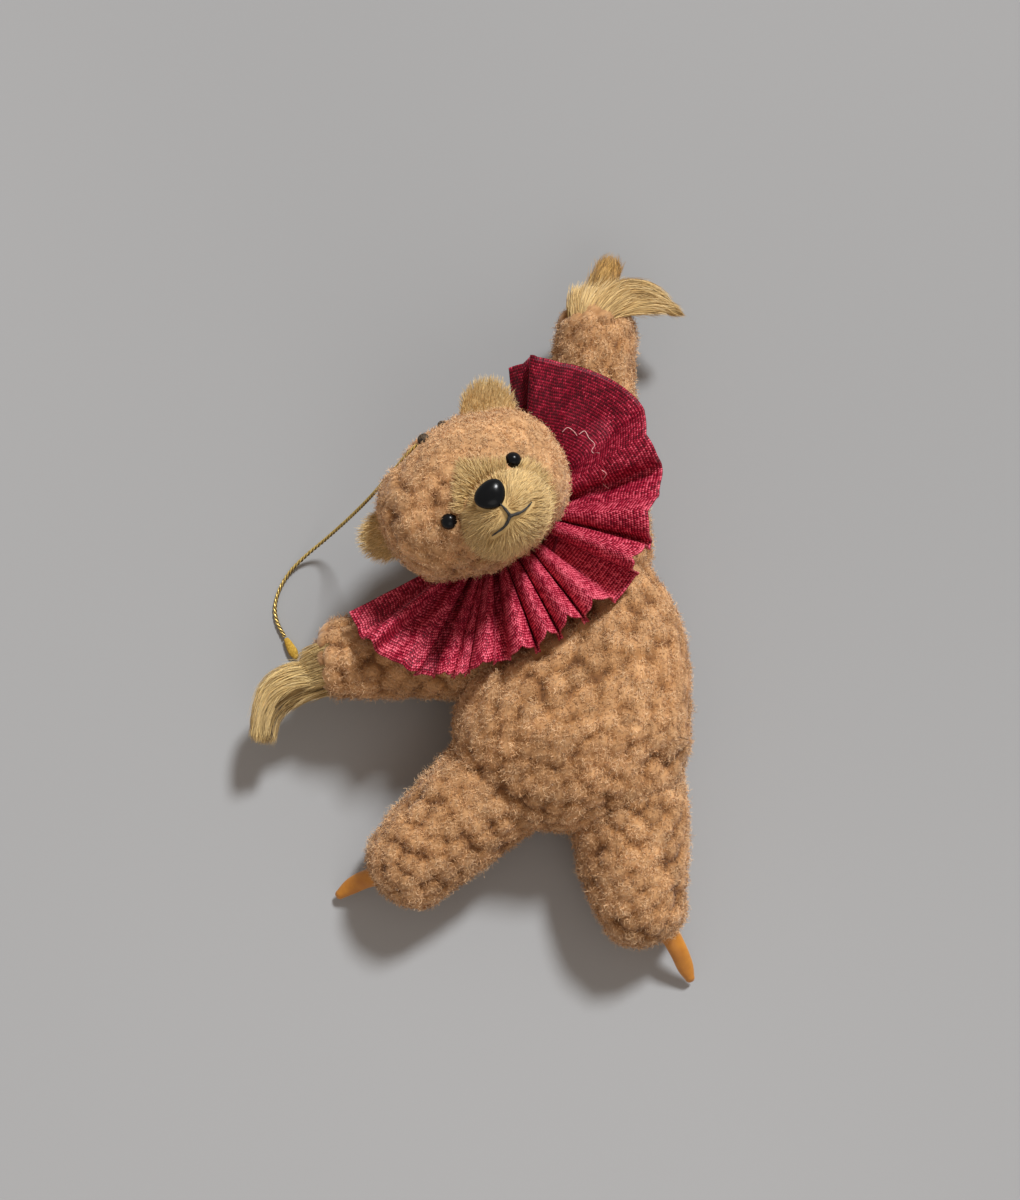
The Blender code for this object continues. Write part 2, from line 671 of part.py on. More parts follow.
def make_face(skin, stuffing, fat_head):
    eyes = [
        make_eye("eye_right", -EYE_SPREAD, skin, stuffing),
        make_eye("eye_left", EYE_SPREAD, skin, stuffing),
    ]
    muzzle = head_ball("muzzle", MUZZLE_MIDDLE, MUZZLE_HALF, "mohair", around=24, rings=14)
    cut(muzzle, fat_head)
    nose_f = muzzle_surface(0.0, NOSE_U) + NOSE_HALF[2] * (1.0 - NOSE_SINKS)
    nose_middle = (0.0, NOSE_U, nose_f)
    nose = head_ball("nose", nose_middle, NOSE_HALF, "gloss_black", around=16, rings=8, taper=NOSE_TAPER)
    nose_seat = head_ball(
        "nose_seat", nose_middle, NOSE_HALF, None, grow=GAP, around=16, rings=8, taper=NOSE_TAPER
    )
    cut(muzzle, nose_seat)

    stitches = []
    lift = THREAD_RADIUS + GAP
    fork = (0.0, MOUTH_FORK_U)
    philtrum_top = (0.0, NOSE_U - NOSE_HALF[1] - 2 * GAP - THREAD_RADIUS)
    start_side = 2 * THREAD_RADIUS + GAP
    lines = {
        "mouth_stitch_centre": (philtrum_top, fork),
        "mouth_stitch_right": ((-start_side, MOUTH_FORK_U), (-MOUTH_HALF_WIDTH, MOUTH_RIGHT_CORNER_U)),
        "mouth_stitch_left": ((start_side, MOUTH_FORK_U), (MOUTH_HALF_WIDTH, MOUTH_LEFT_CORNER_U)),
    }
    for name, (first, last) in lines.items():
        route = []
        for i in range(STITCH_STEPS + 1):
            t = i / STITCH_STEPS
            e = first[0] + (last[0] - first[0]) * t
            u = first[1] + (last[1] - first[1]) * t
            route.append(tuple(on_head(e, u, muzzle_surface(e, u) + lift)))
        stitches.append(tube(name, route, THREAD_RADIUS, "black_thread", 1))

    ears = []
    for name, angle_deg in (("ear_right", EAR_RIGHT_DEG), ("ear_left", EAR_LEFT_DEG)):
        angle = math.radians(angle_deg)
        reach = head_edge(angle)
        middle = (reach * math.cos(angle), HEAD_BROW_RISE + reach * math.sin(angle), EAR_F)
        ear = head_ball(name, middle, EAR_HALF, "mohair", turn_deg=angle_deg - 90.0, around=20, rings=10)
        cut(ear, fat_head)
        ears.append(ear)

    knots = []
    for name, (e, u), radius in (
        ("cord_knot_front", KNOT_FRONT_EU, KNOT_FRONT_RADIUS),
        ("cord_knot_back", KNOT_BACK_EU, KNOT_BACK_RADIUS),
    ):
        centre = on_head(e, u, head_surface(e, u)) + outward(e, u) * radius * 0.5
        knots.append(ball(name, centre, radius, radius * 0.9, "brown_knot", 12, 8))
        cut(skin, ball(name + "_seat", centre, radius + GAP, radius * 0.9 + GAP, None, 12, 8))
    return [*eyes, muzzle, nose, *stitches, *ears, *knots]


def head_edge(angle):
    """How far from its middle the head's outline lies, seen from the front, at an angle from e."""
    half = (HEAD_STATIONS[-1][0] - HEAD_STATIONS[0][0]) / 2 + CHEEK_ROUNDING
    brow = HEAD_STATIONS[len(HEAD_STATIONS) // 2][1]
    return 1.0 / math.hypot(math.cos(angle) / half, math.sin(angle) / brow)


def ruff_inner_radius():
    return NECK_RADIUS + 2 * GAP + 2 * THREAD_RADIUS


def ruff_inner_height(angle_deg):
    return RUFF_INNER_HEIGHT + RUFF_INNER_RISE * math.cos(math.radians(angle_deg - RUFF_RISE_DEG))


def rim_at(angle_deg):
    """Radius and height of the ruff's rim at an angle."""
    for i in range(len(RUFF_RIM) - 1):
        if RUFF_RIM[i + 1][0] <= angle_deg <= RUFF_RIM[i][0]:
            share = (RUFF_RIM[i][0] - angle_deg) / (RUFF_RIM[i][0] - RUFF_RIM[i + 1][0])
            value = through(RUFF_RIM, i + share)
            return value[1], value[2]
    return RUFF_RIM[-1][1:]


def make_ruff():
    """A fan of ribbon, drawn up on a thread at the neck and pleated out to its rim."""
    pleats = len(RUFF_CRESTS_DEG) - 1
    columns = pleats * STEPS_PER_PLEAT
    bm = bmesh.new()
    bmesh.ops.create_grid(bm, x_segments=columns, y_segments=RUFF_ROWS, size=1.0)
    for vert in bm.verts:
        along = (vert.co.x + 1) / 2 * pleats
        out = (vert.co.y + 1) / 2
        i = min(int(along + 1e-6), pleats - 1)
        share = along - i
        angle_deg = RUFF_CRESTS_DEG[i] + (RUFF_CRESTS_DEG[i + 1] - RUFF_CRESTS_DEG[i]) * share
        rim_radius, rim_height = rim_at(angle_deg)
        inner_height = ruff_inner_height(angle_deg)
        radius = ruff_inner_radius() + (rim_radius - ruff_inner_radius()) * out
        depth = PLEAT_AT_NECK + (PLEAT_AT_RIM - PLEAT_AT_NECK) * out
        lift = (rim_height - inner_height) * out**RUFF_SWEEP
        height = inner_height + lift + depth * math.cos(2 * math.pi * share)
        angle = math.radians(angle_deg)
        vert.co = at(
            NECK[0] + radius * math.cos(angle), NECK[1] + radius * math.sin(angle), height
        )
    ruff = part("ruff", bm, "ribbon")
    cloth = ruff.modifiers.new("Ribbon thickness", "SOLIDIFY")
    cloth.thickness = RUFF_CLOTH * MM
    cloth.offset = 0.0
    thread_radius = NECK_RADIUS + GAP + THREAD_RADIUS
    first = RUFF_CRESTS_DEG[0]
    last = RUFF_CRESTS_DEG[-1]
    points = []
    for i in range(GATHER_STEPS + 1):
        angle_deg = first + (last - first) * i / GATHER_STEPS
        angle = math.radians(angle_deg)
        points.append(
            (
                NECK[0] + thread_radius * math.cos(angle),
                NECK[1] + thread_radius * math.sin(angle),
                ruff_inner_height(angle_deg),
            )
        )
    tube("ruff_gathering_thread", points, THREAD_RADIUS, "ribbon_thread", 1)


def make_cord():
    cord = tube("hang_cord", curved(CORD_ROUTE, CORD_STEPS), CORD_RADIUS, "gold_cord", 2)
    end = Vector(CORD_ROUTE[-1])
    back = Vector(through(CORD_ROUTE, len(CORD_ROUTE) - 1.05))
    way = (end - back).normalized()
    way.z = 0.0
    way.normalize()
    stations = []
    for share, width in SLEEVE_PROFILE:
        spot = end + way * (GAP + SLEEVE_CAPS[0] + share * SLEEVE_LENGTH)
        stations.append((*spot[:2], end.z, SLEEVE_HALF[0] * width, SLEEVE_HALF[1] * width))
    sleeve = plush("cord_sleeve", stations, SLEEVE_CAPS, "sleeve", around=12, rings=5, cap_rings=2)
    return [cord, sleeve]


def hang_on(pivot_name, centre, pieces):
    """An empty on the joint's axis that carries the pieces that move with it."""
    pivot = bpy.data.objects.new(pivot_name, None)
    parts.objects.link(pivot)
    pivot.location = at(*centre)
    bpy.context.view_layer.update()
    for piece in pieces:
        piece.parent = pivot
        piece.matrix_parent_inverse = pivot.matrix_world.inverted()


def trim(name, stations, sleeve_stations, finish, rounding, around=14, rings=8):
    """A paw or slipper that starts against the end of its sleeve."""
    piece = plush(name, stations, (rounding, rounding), finish, around=around, rings=rings, cap_rings=3)
    clearance = plush(
        name + "_sleeve_clearance", sleeve_stations, limb_caps(sleeve_stations), None, grow=GAP
    )
    cut(piece, clearance)
    return piece


clear_scene()
parts = new_collection("ballerina_bear")
cutters = new_collection("cutters")
floor_box = floor_cutter()

ARM_RIGHT = limb_stations(ARM_RIGHT_JOINT, ARM_RIGHT_HEADING_DEG, ARM_RIGHT_LENGTH, ARM_RIGHT_FORM)
ARM_LEFT = limb_stations(ARM_LEFT_JOINT, ARM_LEFT_HEADING_DEG, ARM_LEFT_LENGTH, ARM_LEFT_FORM)
LEG_RIGHT = limb_stations(LEG_RIGHT_JOINT, LEG_RIGHT_HEADING_DEG, LEG_RIGHT_LENGTH, LEG_RIGHT_FORM)
LEG_LEFT = limb_stations(LEG_LEFT_JOINT, LEG_LEFT_HEADING_DEG, LEG_LEFT_LENGTH, LEG_LEFT_FORM)
PAW_RIGHT = along_heading(ARM_RIGHT[-1], ARM_RIGHT_HEADING_DEG, PAW_RIGHT_FORM)
PAW_LEFT = along_heading(ARM_LEFT[-1], ARM_LEFT_HEADING_DEG, PAW_LEFT_FORM)
PAW_LEFT_THUMB = along_heading(ARM_LEFT[-1], ARM_LEFT_HEADING_DEG, THUMB_FORM)
FOOT_RIGHT = along_heading(LEG_RIGHT[-1], LEG_RIGHT_HEADING_DEG, FOOT_RIGHT_FORM)
FOOT_LEFT = along_heading(LEG_LEFT[-1], LEG_LEFT_HEADING_DEG, FOOT_LEFT_FORM)

arm_right, socket_arm_right = make_limb("arm_right", ARM_RIGHT, ARM_LEFT[0], False)
arm_left, socket_arm_left = make_limb("arm_left", ARM_LEFT, ARM_RIGHT[0], False)
leg_right, socket_leg_right = make_limb("leg_right", LEG_RIGHT, PELVIS, True)
leg_left, socket_leg_left = make_limb("leg_left", LEG_LEFT, PELVIS, True)
make_torso([socket_arm_right, socket_arm_left, socket_leg_right, socket_leg_left])
make_ruff()

head_skin, head_stuffing, head_wire, head_clearance = make_head()
face = make_face(head_skin, head_stuffing, head_clearance)
hang_on("neck_pivot", NECK, [head_skin, head_stuffing, head_wire, *face, *make_cord()])

paw_right = trim("paw_right", PAW_RIGHT, ARM_RIGHT, "mohair", PAW_ROUNDING)
hang_on("shoulder_right_pivot", ARM_RIGHT[0][:3], [*arm_right, paw_right])
paw_left = trim("paw_left", PAW_LEFT, ARM_LEFT, "mohair", PAW_ROUNDING)
thumb = trim("paw_left_thumb", PAW_LEFT_THUMB, ARM_LEFT, "mohair", PAW_ROUNDING)
cut(thumb, plush("paw_left_clearance", PAW_LEFT, (PAW_ROUNDING, PAW_ROUNDING), None, grow=GAP, around=14))
hang_on("shoulder_left_pivot", ARM_LEFT[0][:3], [*arm_left, paw_left, thumb])
foot_right = trim("foot_right", FOOT_RIGHT, LEG_RIGHT, "slipper_leather", FOOT_ROUNDING)
hang_on("hip_right_pivot", LEG_RIGHT[0][:3], [*leg_right, foot_right])
foot_left = trim("foot_left", FOOT_LEFT, LEG_LEFT, "slipper_leather", FOOT_ROUNDING)
hang_on("hip_left_pivot", LEG_LEFT[0][:3], [*leg_left, foot_left])
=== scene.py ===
"""Looks of the ballerina teddy bear ornament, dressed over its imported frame.

Shapes are given in bench millimetres, as the frame's own source gives them, and at() turns them into
metres of the row frame. Fur is built of fine ribbons, each one fibre or lock, on skins that swell into
curled tufts. Nothing here is random without a seed.
"""

import math
from itertools import product

import bpy
import numpy as np
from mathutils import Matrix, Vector
from mathutils import noise as perlin
from mathutils.bvhtree import BVHTree


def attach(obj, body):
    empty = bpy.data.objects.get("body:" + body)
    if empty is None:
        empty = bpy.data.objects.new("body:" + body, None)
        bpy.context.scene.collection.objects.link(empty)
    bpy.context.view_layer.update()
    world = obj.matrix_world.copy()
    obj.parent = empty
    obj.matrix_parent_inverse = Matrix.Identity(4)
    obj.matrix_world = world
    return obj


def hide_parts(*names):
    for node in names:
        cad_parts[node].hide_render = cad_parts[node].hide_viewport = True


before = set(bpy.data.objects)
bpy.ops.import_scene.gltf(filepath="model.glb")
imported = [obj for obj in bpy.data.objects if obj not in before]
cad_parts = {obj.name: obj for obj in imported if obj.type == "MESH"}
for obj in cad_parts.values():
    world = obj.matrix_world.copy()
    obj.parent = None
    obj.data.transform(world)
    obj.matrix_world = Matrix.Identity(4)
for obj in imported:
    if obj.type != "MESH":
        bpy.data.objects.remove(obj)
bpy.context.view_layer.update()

MM = 0.001
ORIGIN = np.array((0.5, 1.0, 0.0))
UP = np.array((0.0, 0.0, 1.0))
FLOOR_CLEARANCE = 0.15

# Camera: what it looks at in the row frame, how far off and how high it stands, and its lens
CAMERA_TARGET = (7.0, 3.3, 15.0)
CAMERA_DISTANCE = 350.0
CAMERA_ELEVATION_DEG = 84.0
CAMERA_LENS = 51.22
CAMERA_SENSOR = 36.0

# Light: the way each lamp lies, its strength, how wide it looks in degrees and its colour; then the light
# from all round, the backdrop, and half the floor's side in metres
LAMPS = {
    "key": ((0.42, 0.80, 0.86), 3.25, 10.0, (0.99, 0.99, 1.0)),
    "fill": ((0.2, -0.6, 0.6), 0.3, 40.0, (1.0, 0.97, 0.94)),
}
AMBIENT_COLOUR = (1.0, 0.82, 0.70)
AMBIENT_STRENGTH = 0.36
BACKDROP_COLOUR = (0.43, 0.43, 0.425)
FLOOR_HALF = 6.0

# Seeds of the random draws, and the step that spreads tints over tufts and locks
SEEDS = {
    "cord_wrap": 5,
    "torso": 11,
    "arm_right": 21,
    "arm_left": 22,
    "leg_right": 23,
    "leg_left": 24,
    "neck": 27,
    "face": 31,
    "head": 41,
    "ear_right": 50,
    "ear_left": 51,
    "paw_right": 61,
    "paw_left": 62,
    "paw_left_thumb": 63,
    "arm_right_wrist": 64,
    "arm_left_wrist": 65,
}
GOLDEN = 0.6180339

# Stuffed forms, near the frame's: how far the torso is pressed flat below, then the torso by x, y,
# half-width and half-thickness
PRESSED = 0.5
TORSO = (
    (20.3, -30.6, 22.4, 13.0),
    (20.3, -22.0, 24.0, 14.5),
    (22.5, -9.0, 21.4, 13.6),
    (19.8, 1.5, 19.4, 11.6),
    (14.0, 9.2, 14.6, 9.6),
    (10.0, 14.4, 10.0, 8.0),
)
TORSO_CAPS = (12.0, 8.5)
# The neck's joint
NECK = (7.5, 18.0, 16.5)
# Plush that fills the neck under the head: its middle's height, and its halves
NECK_FILL_Z = 13.5
NECK_FILL_HALF = (8.2, 8.2, 6.0)
# The head's middle, and how far its brow leans to its right
HEAD = (1.6, 22.7, 30.0)
HEAD_LEAN_DEG = 43.8
# The head's form by place along it, half-height and half-depth, and how far it sits up the brow
HEAD_BROW_RISE = 1.4
HEAD_STATIONS = (
    (-11.0, 12.0, 11.6),
    (-5.5, 14.2, 13.9),
    (0.0, 14.5, 14.5),
    (5.0, 14.2, 13.9),
    (9.5, 12.2, 11.8),
)
# How far the stuffed form of the head is turned against the face
HEAD_FORM_TURN_DEG = -13.0
CHEEK_ROUNDING = 8.6
HEAD_CAPS = (CHEEK_ROUNDING, CHEEK_ROUNDING)
# Half the head's length, with its half-height and half-depth at the middle
HEAD_HALVES = (
    (HEAD_STATIONS[-1][0] - HEAD_STATIONS[0][0]) / 2 + CHEEK_ROUNDING,
    *HEAD_STATIONS[len(HEAD_STATIONS) // 2][1:],
)
CUFF_ROUNDING = 6.2
# Limbs: joint on the bench, heading, length to the cuff, then share of the length, offset to the heading's
# right, z, half-width and half-thickness
LIMBS = {
    "arm_right": ((5.0, -7.0), -179.3, 31.5, (
        (0.0, 0.0, 12.5, 9.2, 8.4),
        (0.41, 0.4, 12.6, 8.5, 7.8),
        (0.73, 0.5, 12.8, 8.4, 7.7),
        (1.0, 0.0, 13.0, 7.9, 7.0),
    )),
    "arm_left": ((27.5, 15.0), 92.3, 47.0, (
        (0.0, 0.0, 11.0, 9.2, 8.2),
        (0.32, -0.3, 10.6, 8.6, 7.6),
        (0.66, -1.3, 10.4, 8.6, 7.4),
        (1.0, 0.0, 10.8, 7.9, 6.8),
    )),
    "leg_right": ((7.0, -31.0), -136.7, 28.6, (
        (0.0, 0.0, 10.0, 12.2, 10.5),
        (0.485, 0.2, 9.7, 10.7, 10.2),
        (0.855, 0.3, 9.2, 9.6, 9.7),
        (1.0, 0.0, 8.6, 8.9, 9.1),
    )),
    "leg_left": ((32.0, -38.0), -82.1, 21.7, (
        (0.0, 0.0, 10.0, 11.6, 10.5),
        (0.46, 0.8, 9.7, 11.0, 10.2),
        (0.79, 0.5, 9.2, 9.7, 9.7),
        (1.0, 0.0, 8.4, 8.4, 8.9),
    )),
}
# How far the arms and the head swing, which the ruff is laid clear of
ARM_SWINGS = {"arm_right": (-14.0, 5.0), "arm_left": (-20.0, 6.0)}
HEAD_SWINGS = (-8.0, 0.0, 8.0)
# Paws and slippers, from the cuff: the limb, then distance along its heading, offset to its right, z,
# half-width and half-thickness
PAWS = {
    "paw_right": ("arm_right", (
        (2.5, -3.8, 13.0, 3.0, 2.4),
        (6.1, -4.4, 13.0, 3.3, 2.6),
        (10.2, -5.3, 13.0, 3.9, 2.9),
        (13.8, -7.4, 12.7, 3.7, 2.7),
        (16.0, -11.2, 12.0, 2.7, 2.1),
        (16.8, -14.8, 11.2, 1.9, 1.5),
    )),
    "paw_left": ("arm_left", (
        (2.4, 2.7, 12.5, 3.2, 2.6),
        (6.0, 5.6, 12.7, 3.4, 2.7),
        (6.5, 9.7, 12.7, 3.0, 2.4),
        (5.1, 13.2, 12.5, 2.1, 1.8),
        (3.9, 15.4, 12.3, 1.2, 1.1),
    )),
    "paw_left_thumb": ("arm_left", (
        (2.0, 0.7, 12.2, 2.6, 2.0),
        (8.4, 1.7, 12.4, 2.8, 1.9),
        (12.5, 3.2, 12.5, 2.4, 1.6),
    )),
}
PAW_CAPS = (1.8, 1.8)
PAW_LOCKS = 54
# How much browner the mohair runs at the paws' tips
PAW_TIP_SHADE = 0.4
# Mohair of the wrists: how far past each cuff the plush ends, how far on from there the mohair is rooted,
# and the height its tips fall to
PLUSH_ENDS = {"arm_right": 3.0, "arm_left": 1.2}
WRIST_ROOTS = (-0.6, 2.4)
WRIST_LEVEL = 14.2

FEET = {
    "foot_right": ("leg_right", (
        (4.2, 2.4, 8.2, 1.4, 1.3),
        (7.8, 4.3, 7.0, 1.7, 1.2),
        (11.2, 5.3, 5.6, 1.75, 1.0),
        (14.1, 5.7, 4.6, 1.3, 0.8),
    )),
    "foot_left": ("leg_left", (
        (5.2, -4.7, 8.2, 1.5, 1.3),
        (9.2, -6.2, 7.0, 1.7, 1.2),
        (12.6, -7.2, 5.6, 1.75, 1.0),
        (15.0, -7.9, 4.6, 1.3, 0.8),
    )),
}
FOOT_CAPS = (1.0, 1.0)
# The slippers against the frame's: how they narrow, how far they droop to the surface, and how deep their
# sole side is hollow
SLIPPER_TAPER = (1.3, 1.06, 0.92, 0.72)
SLIPPER_DROP = (0.4, 1.2, 2.1, 2.6)
SLIPPER_HOLLOW = 1.1

# Face on the head's own axes: e towards the bear's left, u towards the brow, f out of the face
EYE_SPREAD = 8.5
EYE_DROP = 0.6
EYE_RADIUS = 1.65
EYE_STANDS = 0.5
MUZZLE_MIDDLE = np.array((0.6, -6.4, 9.5))
MUZZLE_HALF = np.array((8.8, 7.1, 10.5))
# The shares of its halves where the muzzle's skin lies and its mohair is rooted
MUZZLE_SKIN = 0.985
MUZZLE_ROOTS = 0.97
NOSE_U = -3.4
NOSE_HALF = (3.1, 2.7, 1.7)
NOSE_TAPER = 0.22
NOSE_SINKS = 0.65
# Mouth threads by e and u, from where the three meet
MOUTH_FORK = (-0.1, -8.7)
MOUTH_WAYS = {
    "mouth_stitch_centre": (MOUTH_FORK, (0.05, -7.3), (0.1, -5.6)),
    "mouth_stitch_right": (MOUTH_FORK, (-2.2, -9.3), (-4.9, -8.8)),
    "mouth_stitch_left": (MOUTH_FORK, (2.3, -9.6), (4.8, -9.4)),
}
MOUTH_RADIUS = 0.34
MOUTH_STEPS = 60
# Cream mohair of the face: the oval round the muzzle by its middle and halves on e and u, and the wedge
# that runs up between the eyes: its middle, its foot and top on u, and half its width at the foot
PATCH_MIDDLE = (1.6, -6.3)
PATCH_HALF = (9.6, 7.6)
WEDGE_E = 0.4
WEDGE_FOOT_U = -2.0
WEDGE_TOP_U = 5.4
WEDGE_HALF = 7.8
EAR_HALF = (4.9, 5.2, 1.5)
# Ears: angle round the head, how far past the head's edge the middle stands, and size
EARS = {"ear_right": (160.0, 0.0, 1.0), "ear_left": (38.5, 0.3, 1.08)}
# Where the ears stand, behind the head's middle
EAR_F = -2.5
# Knots of the cord by e, u and radius; then, as shares of it, how far out their thread winds and half how
# thick it is
KNOTS = {"cord_knot_front": (-0.5, 14.6, 1.2), "cord_knot_back": (4.3, 14.9, 0.9)}
KNOT_WINDS = 0.78
KNOT_THREAD = 0.27
KNOT_TURNS = 9
KNOT_STEPS = 260

# Ribbon ruff: rim stations as angle, radius and height; then where its cloth turns up or down, as the angle
# at the rim and at the neck, the height off its middle, how round the turn is and how far the rim stands out
RUFF_RIM = (
    (90.0, 33.1, 23.0),
    (70.0, 35.5, 23.3),
    (48.0, 35.9, 24.2),
    (25.0, 32.5, 25.6),
    (3.0, 28.3, 27.2),
    (-17.0, 26.0, 28.2),
    (-37.0, 24.5, 28.8),
    (-57.0, 23.5, 28.9),
    (-79.0, 24.9, 28.7),
    (-96.0, 27.2, 28.0),
    (-110.0, 31.3, 27.0),
    (-130.0, 35.5, 25.8),
    (-152.0, 36.3, 24.4),
)
RUFF_TURNS = (
    (90.5, 64.0, -3.4, 0.25, -0.2),
    (85.5, 62.5, -1.6, 0.30, 0.4),
    (81.0, 61.5, 1.9, 0.14, 1.4),
    (73.0, 60.0, 0.9, 0.50, 0.2),
    (62.0, 57.0, -1.2, 0.40, 0.3),
    (46.0, 54.0, -4.0, 0.35, 0.8),
    (34.0, 52.0, 2.4, 0.55, -0.6),
    (21.5, 50.0, -3.6, 0.14, 0.2),
    (14.0, 46.5, -1.4, 0.30, 0.0),
    (5.0, 43.0, 2.6, 0.60, -0.3),
    (-8.0, 36.0, -3.0, 0.14, 0.3),
    (-16.0, 20.0, 2.8, 0.60, -0.2),
    (-21.5, 4.0, -4.4, 0.18, -0.2),
    (-35.0, -20.0, -4.8, 0.16, -0.4),
    (-43.5, -32.0, 3.2, 0.75, -0.7),
    (-52.0, -44.0, -3.6, 0.14, -0.5),
    (-59.0, -58.0, 3.1, 0.75, -0.8),
    (-66.0, -74.0, -3.6, 0.14, -0.6),
    (-71.5, -88.0, 3.0, 0.75, -0.6),
    (-77.5, -102.0, -3.8, 0.14, -0.6),
    (-84.5, -112.0, 3.2, 0.80, 0.2),
    (-91.0, -120.0, -3.0, 0.20, -0.8),
    (-95.5, -125.0, -3.0, 0.20, -1.0),
    (-101.0, -131.0, 3.0, 0.80, 0.4),
    (-106.0, -137.0, -2.4, 0.14, -0.4),
    (-108.5, -139.5, 1.2, 0.50, 0.3),
    (-110.5, -142.0, -2.4, 0.14, -0.4),
    (-113.5, -145.5, 2.2, 0.65, 0.4),
    (-117.5, -148.5, -3.6, 0.18, -0.6),
    (-121.0, -150.5, -3.0, 0.18, -0.4),
    (-127.0, -152.5, 1.4, 0.55, 0.2),
    (-133.0, -154.0, -0.4, 0.40, 0.0),
    (-140.0, -155.5, 3.2, 0.12, 0.4),
    (-146.5, -157.5, -0.8, 0.35, 0.0),
    (-152.0, -160.0, -0.4, 0.40, 0.0),
)
# Painted light and shade on the ribbon's cloth, as rim angle and level: lower levels paint shade, higher
# ones light; 0.5 is the middle level
RUFF_PAINTED_LIGHT = (
    (90.0, 0.02),
    (60.0, 0.06),
    (30.0, 0.46),
    (0.0, 0.64),
    (-40.0, 0.84),
    (-60.0, 0.76),
    (-110.0, 0.66),
    (-152.0, 0.58),
)
RUFF_INNER_RADIUS = 10.3
RUFF_INNER_HEIGHT = 16.0
RUFF_INNER_RISE = 3.8
RUFF_RISE_DEG = -50.0
RUFF_SWEEP = 0.88
RIBBON_THICKNESS = 0.3
RIBBON_STEPS = 12
RIBBON_ROWS = 30
# Steps of a pleat's slope for each column; the slope in degrees: its least, its gain with height against
# room, and its most; and the share of its height that a pleat has at the neck
PLEAT_FINE = 16
PLEAT_SLOPES = (25.0, 62.0, 100.0)
PLEAT_AT_NECK = 0.5
# Height and scale of the cloth's slow waves
RUFF_WAVES = ((0.5, 0.16), (0.16, 0.55))
# Rounds that lay the ruff clear of what it lies on, and the most that one moves it down and up
LAYING_ROUNDS = 8
LAYING_DOWN = 0.6
LAYING_UP = 1.0
# How far a steep pleat's flanks stand out past its crown, which leaves its tube open at the rim
RUFF_FLANK = 1.0
# The ribbon's gathered edge: how far it runs in past the thread, over it, and how far it stays off the plush
RUFF_HEM = 4.5
RUFF_HEM_RISE = 1.0
RUFF_OFF_PLUSH = 1.2
RUFF_OFF_SWUNG = 1.1
RUFF_OFF_HEAD = 0.9
# The weave: its rows, and the bright floats along each
ROW_PITCH = 0.64
FLOAT_PITCH = 0.52

# Threads pulled out of the ribbon, as they lie on it
LOOSE_THREAD_RADIUS = 0.09
LOOSE_THREAD_STEPS = 40
LOOSE_THREADS = (
    ((18.2, 38.3), (19.2, 39.1), (20.4, 38.5), (21.2, 37.6)),
    ((21.6, 37.9), (22.8, 38.6), (23.6, 37.2), (24.8, 35.8), (24.2, 34.4), (25.6, 33.3)),
    ((26.0, 29.7), (26.9, 29.0), (26.3, 27.8), (27.6, 26.6)),
)

# The cord from the head to its wrap on the floor
CORD_RADIUS = 0.42
CORD_ROUTE = (
    (-10.5, 32.3, 36.8),
    (-12.1, 30.9, 35.9),
    (-14.0, 29.4, 33.2),
    (-16.9, 27.4, 27.8),
    (-21.3, 24.5, 19.5),
    (-26.3, 21.6, 11.0),
    (-31.4, 18.4, 5.0),
    (-36.2, 15.0, 1.9),
    (-39.5, 11.8, 0.8),
    (-41.7, 8.1, 0.55),
    (-42.6, 4.4, 0.55),
    (-42.1, 1.1, 0.6),
    (-40.4, -2.1, 0.8),
)
# The cord's braid: its steps, points round it, strands, how far they wind on, and how deep it is grooved
CORD_STEPS = 560
CORD_AROUND = 18
CORD_STRANDS = 3
CORD_PITCH = 1.05
CORD_GROOVE = 0.42
# How far the head's fibres are rooted off the cord
CORD_PARTING = 1.3
# The felt wrap on the cord's end: length, halves, how these run along it, its ends, and the gap to the cord
SLEEVE_LENGTH = 4.1
SLEEVE_HALF = (1.0, 0.7)
SLEEVE_PROFILE = ((0.0, 0.55), (0.35, 0.85), (0.75, 1.0), (1.0, 0.7))
SLEEVE_CAPS = (0.3, 0.6)
GAP = 0.3

# Curled tufts: their spacing, height and sizes, places tried for each, and the least share of the spacing
# between two
TUFT_SPACING = 3.3
TUFT_HEIGHT = 1.0
TUFT_SIZES = (0.6, 1.35)
TUFT_TRIES = 9
TUFT_APART = 0.86
# Their fibres: how many for each square millimetre, length and its spread, half-width, how wide a curl is
# and how often it turns, how far fibres stray and droop, and how far a ribbon tilts on its fibre
FIBRE_DENSITY = 6.0
FIBRE_LENGTH = 1.6
HEAD_FIBRE_LENGTH = 1.4
FIBRE_REACHES = (0.55, 1.15)
FIBRE_HALF_WIDTH = 0.05
CURL_RADIUS = 0.26
CURL_TURNS = (0.6, 1.5)
FIBRE_STRAY = 0.28
FIBRE_DROOP = 0.42
FIBRE_TILT = 0.55
# How deep in another form plush is still rooted
PLUSH_MEETS = 1.5
# Points along each fibre, and how many fibres the face and each ear have
FIBRE_POINTS = 6
FACE_POINTS = 7
PAW_POINTS = 9
MUZZLE_FIBRES = 17000
CHEEK_FIBRES = 5000
EAR_FIBRES = 4200
# The most triangles that one piece of fibres has
MOST_FACES = 190000
# How many spots are searched at once for their tuft
SEARCHED_AT_ONCE = 2000


# Geometry helpers


def at(points):
    """Bench millimetres as metres of the row frame."""
    return (np.asarray(points, float) - ORIGIN) * MM


def through(stations, t):
    """The Catmull-Rom curve through the stations at each t."""
    rows = np.array(stations, float)
    t = np.asarray(t, float)
    last = len(rows) - 1
    i = np.clip(t.astype(int), 0, last - 1)
    f = (t - i)[..., None]
    before = rows[np.maximum(i - 1, 0)]
    here = rows[i]
    there = rows[i + 1]
    after = rows[np.minimum(i + 2, last)]
    rise = (there - before) / 2
    fall = (after - here) / 2
    cubic = 2 * (here - there) + rise + fall
    square = 3 * (there - here) - 2 * rise - fall
    return here + rise * f + square * f**2 + cubic * f**3


def unit(vectors):
    return vectors / np.maximum(np.linalg.norm(vectors, axis=-1, keepdims=True), 1e-12)


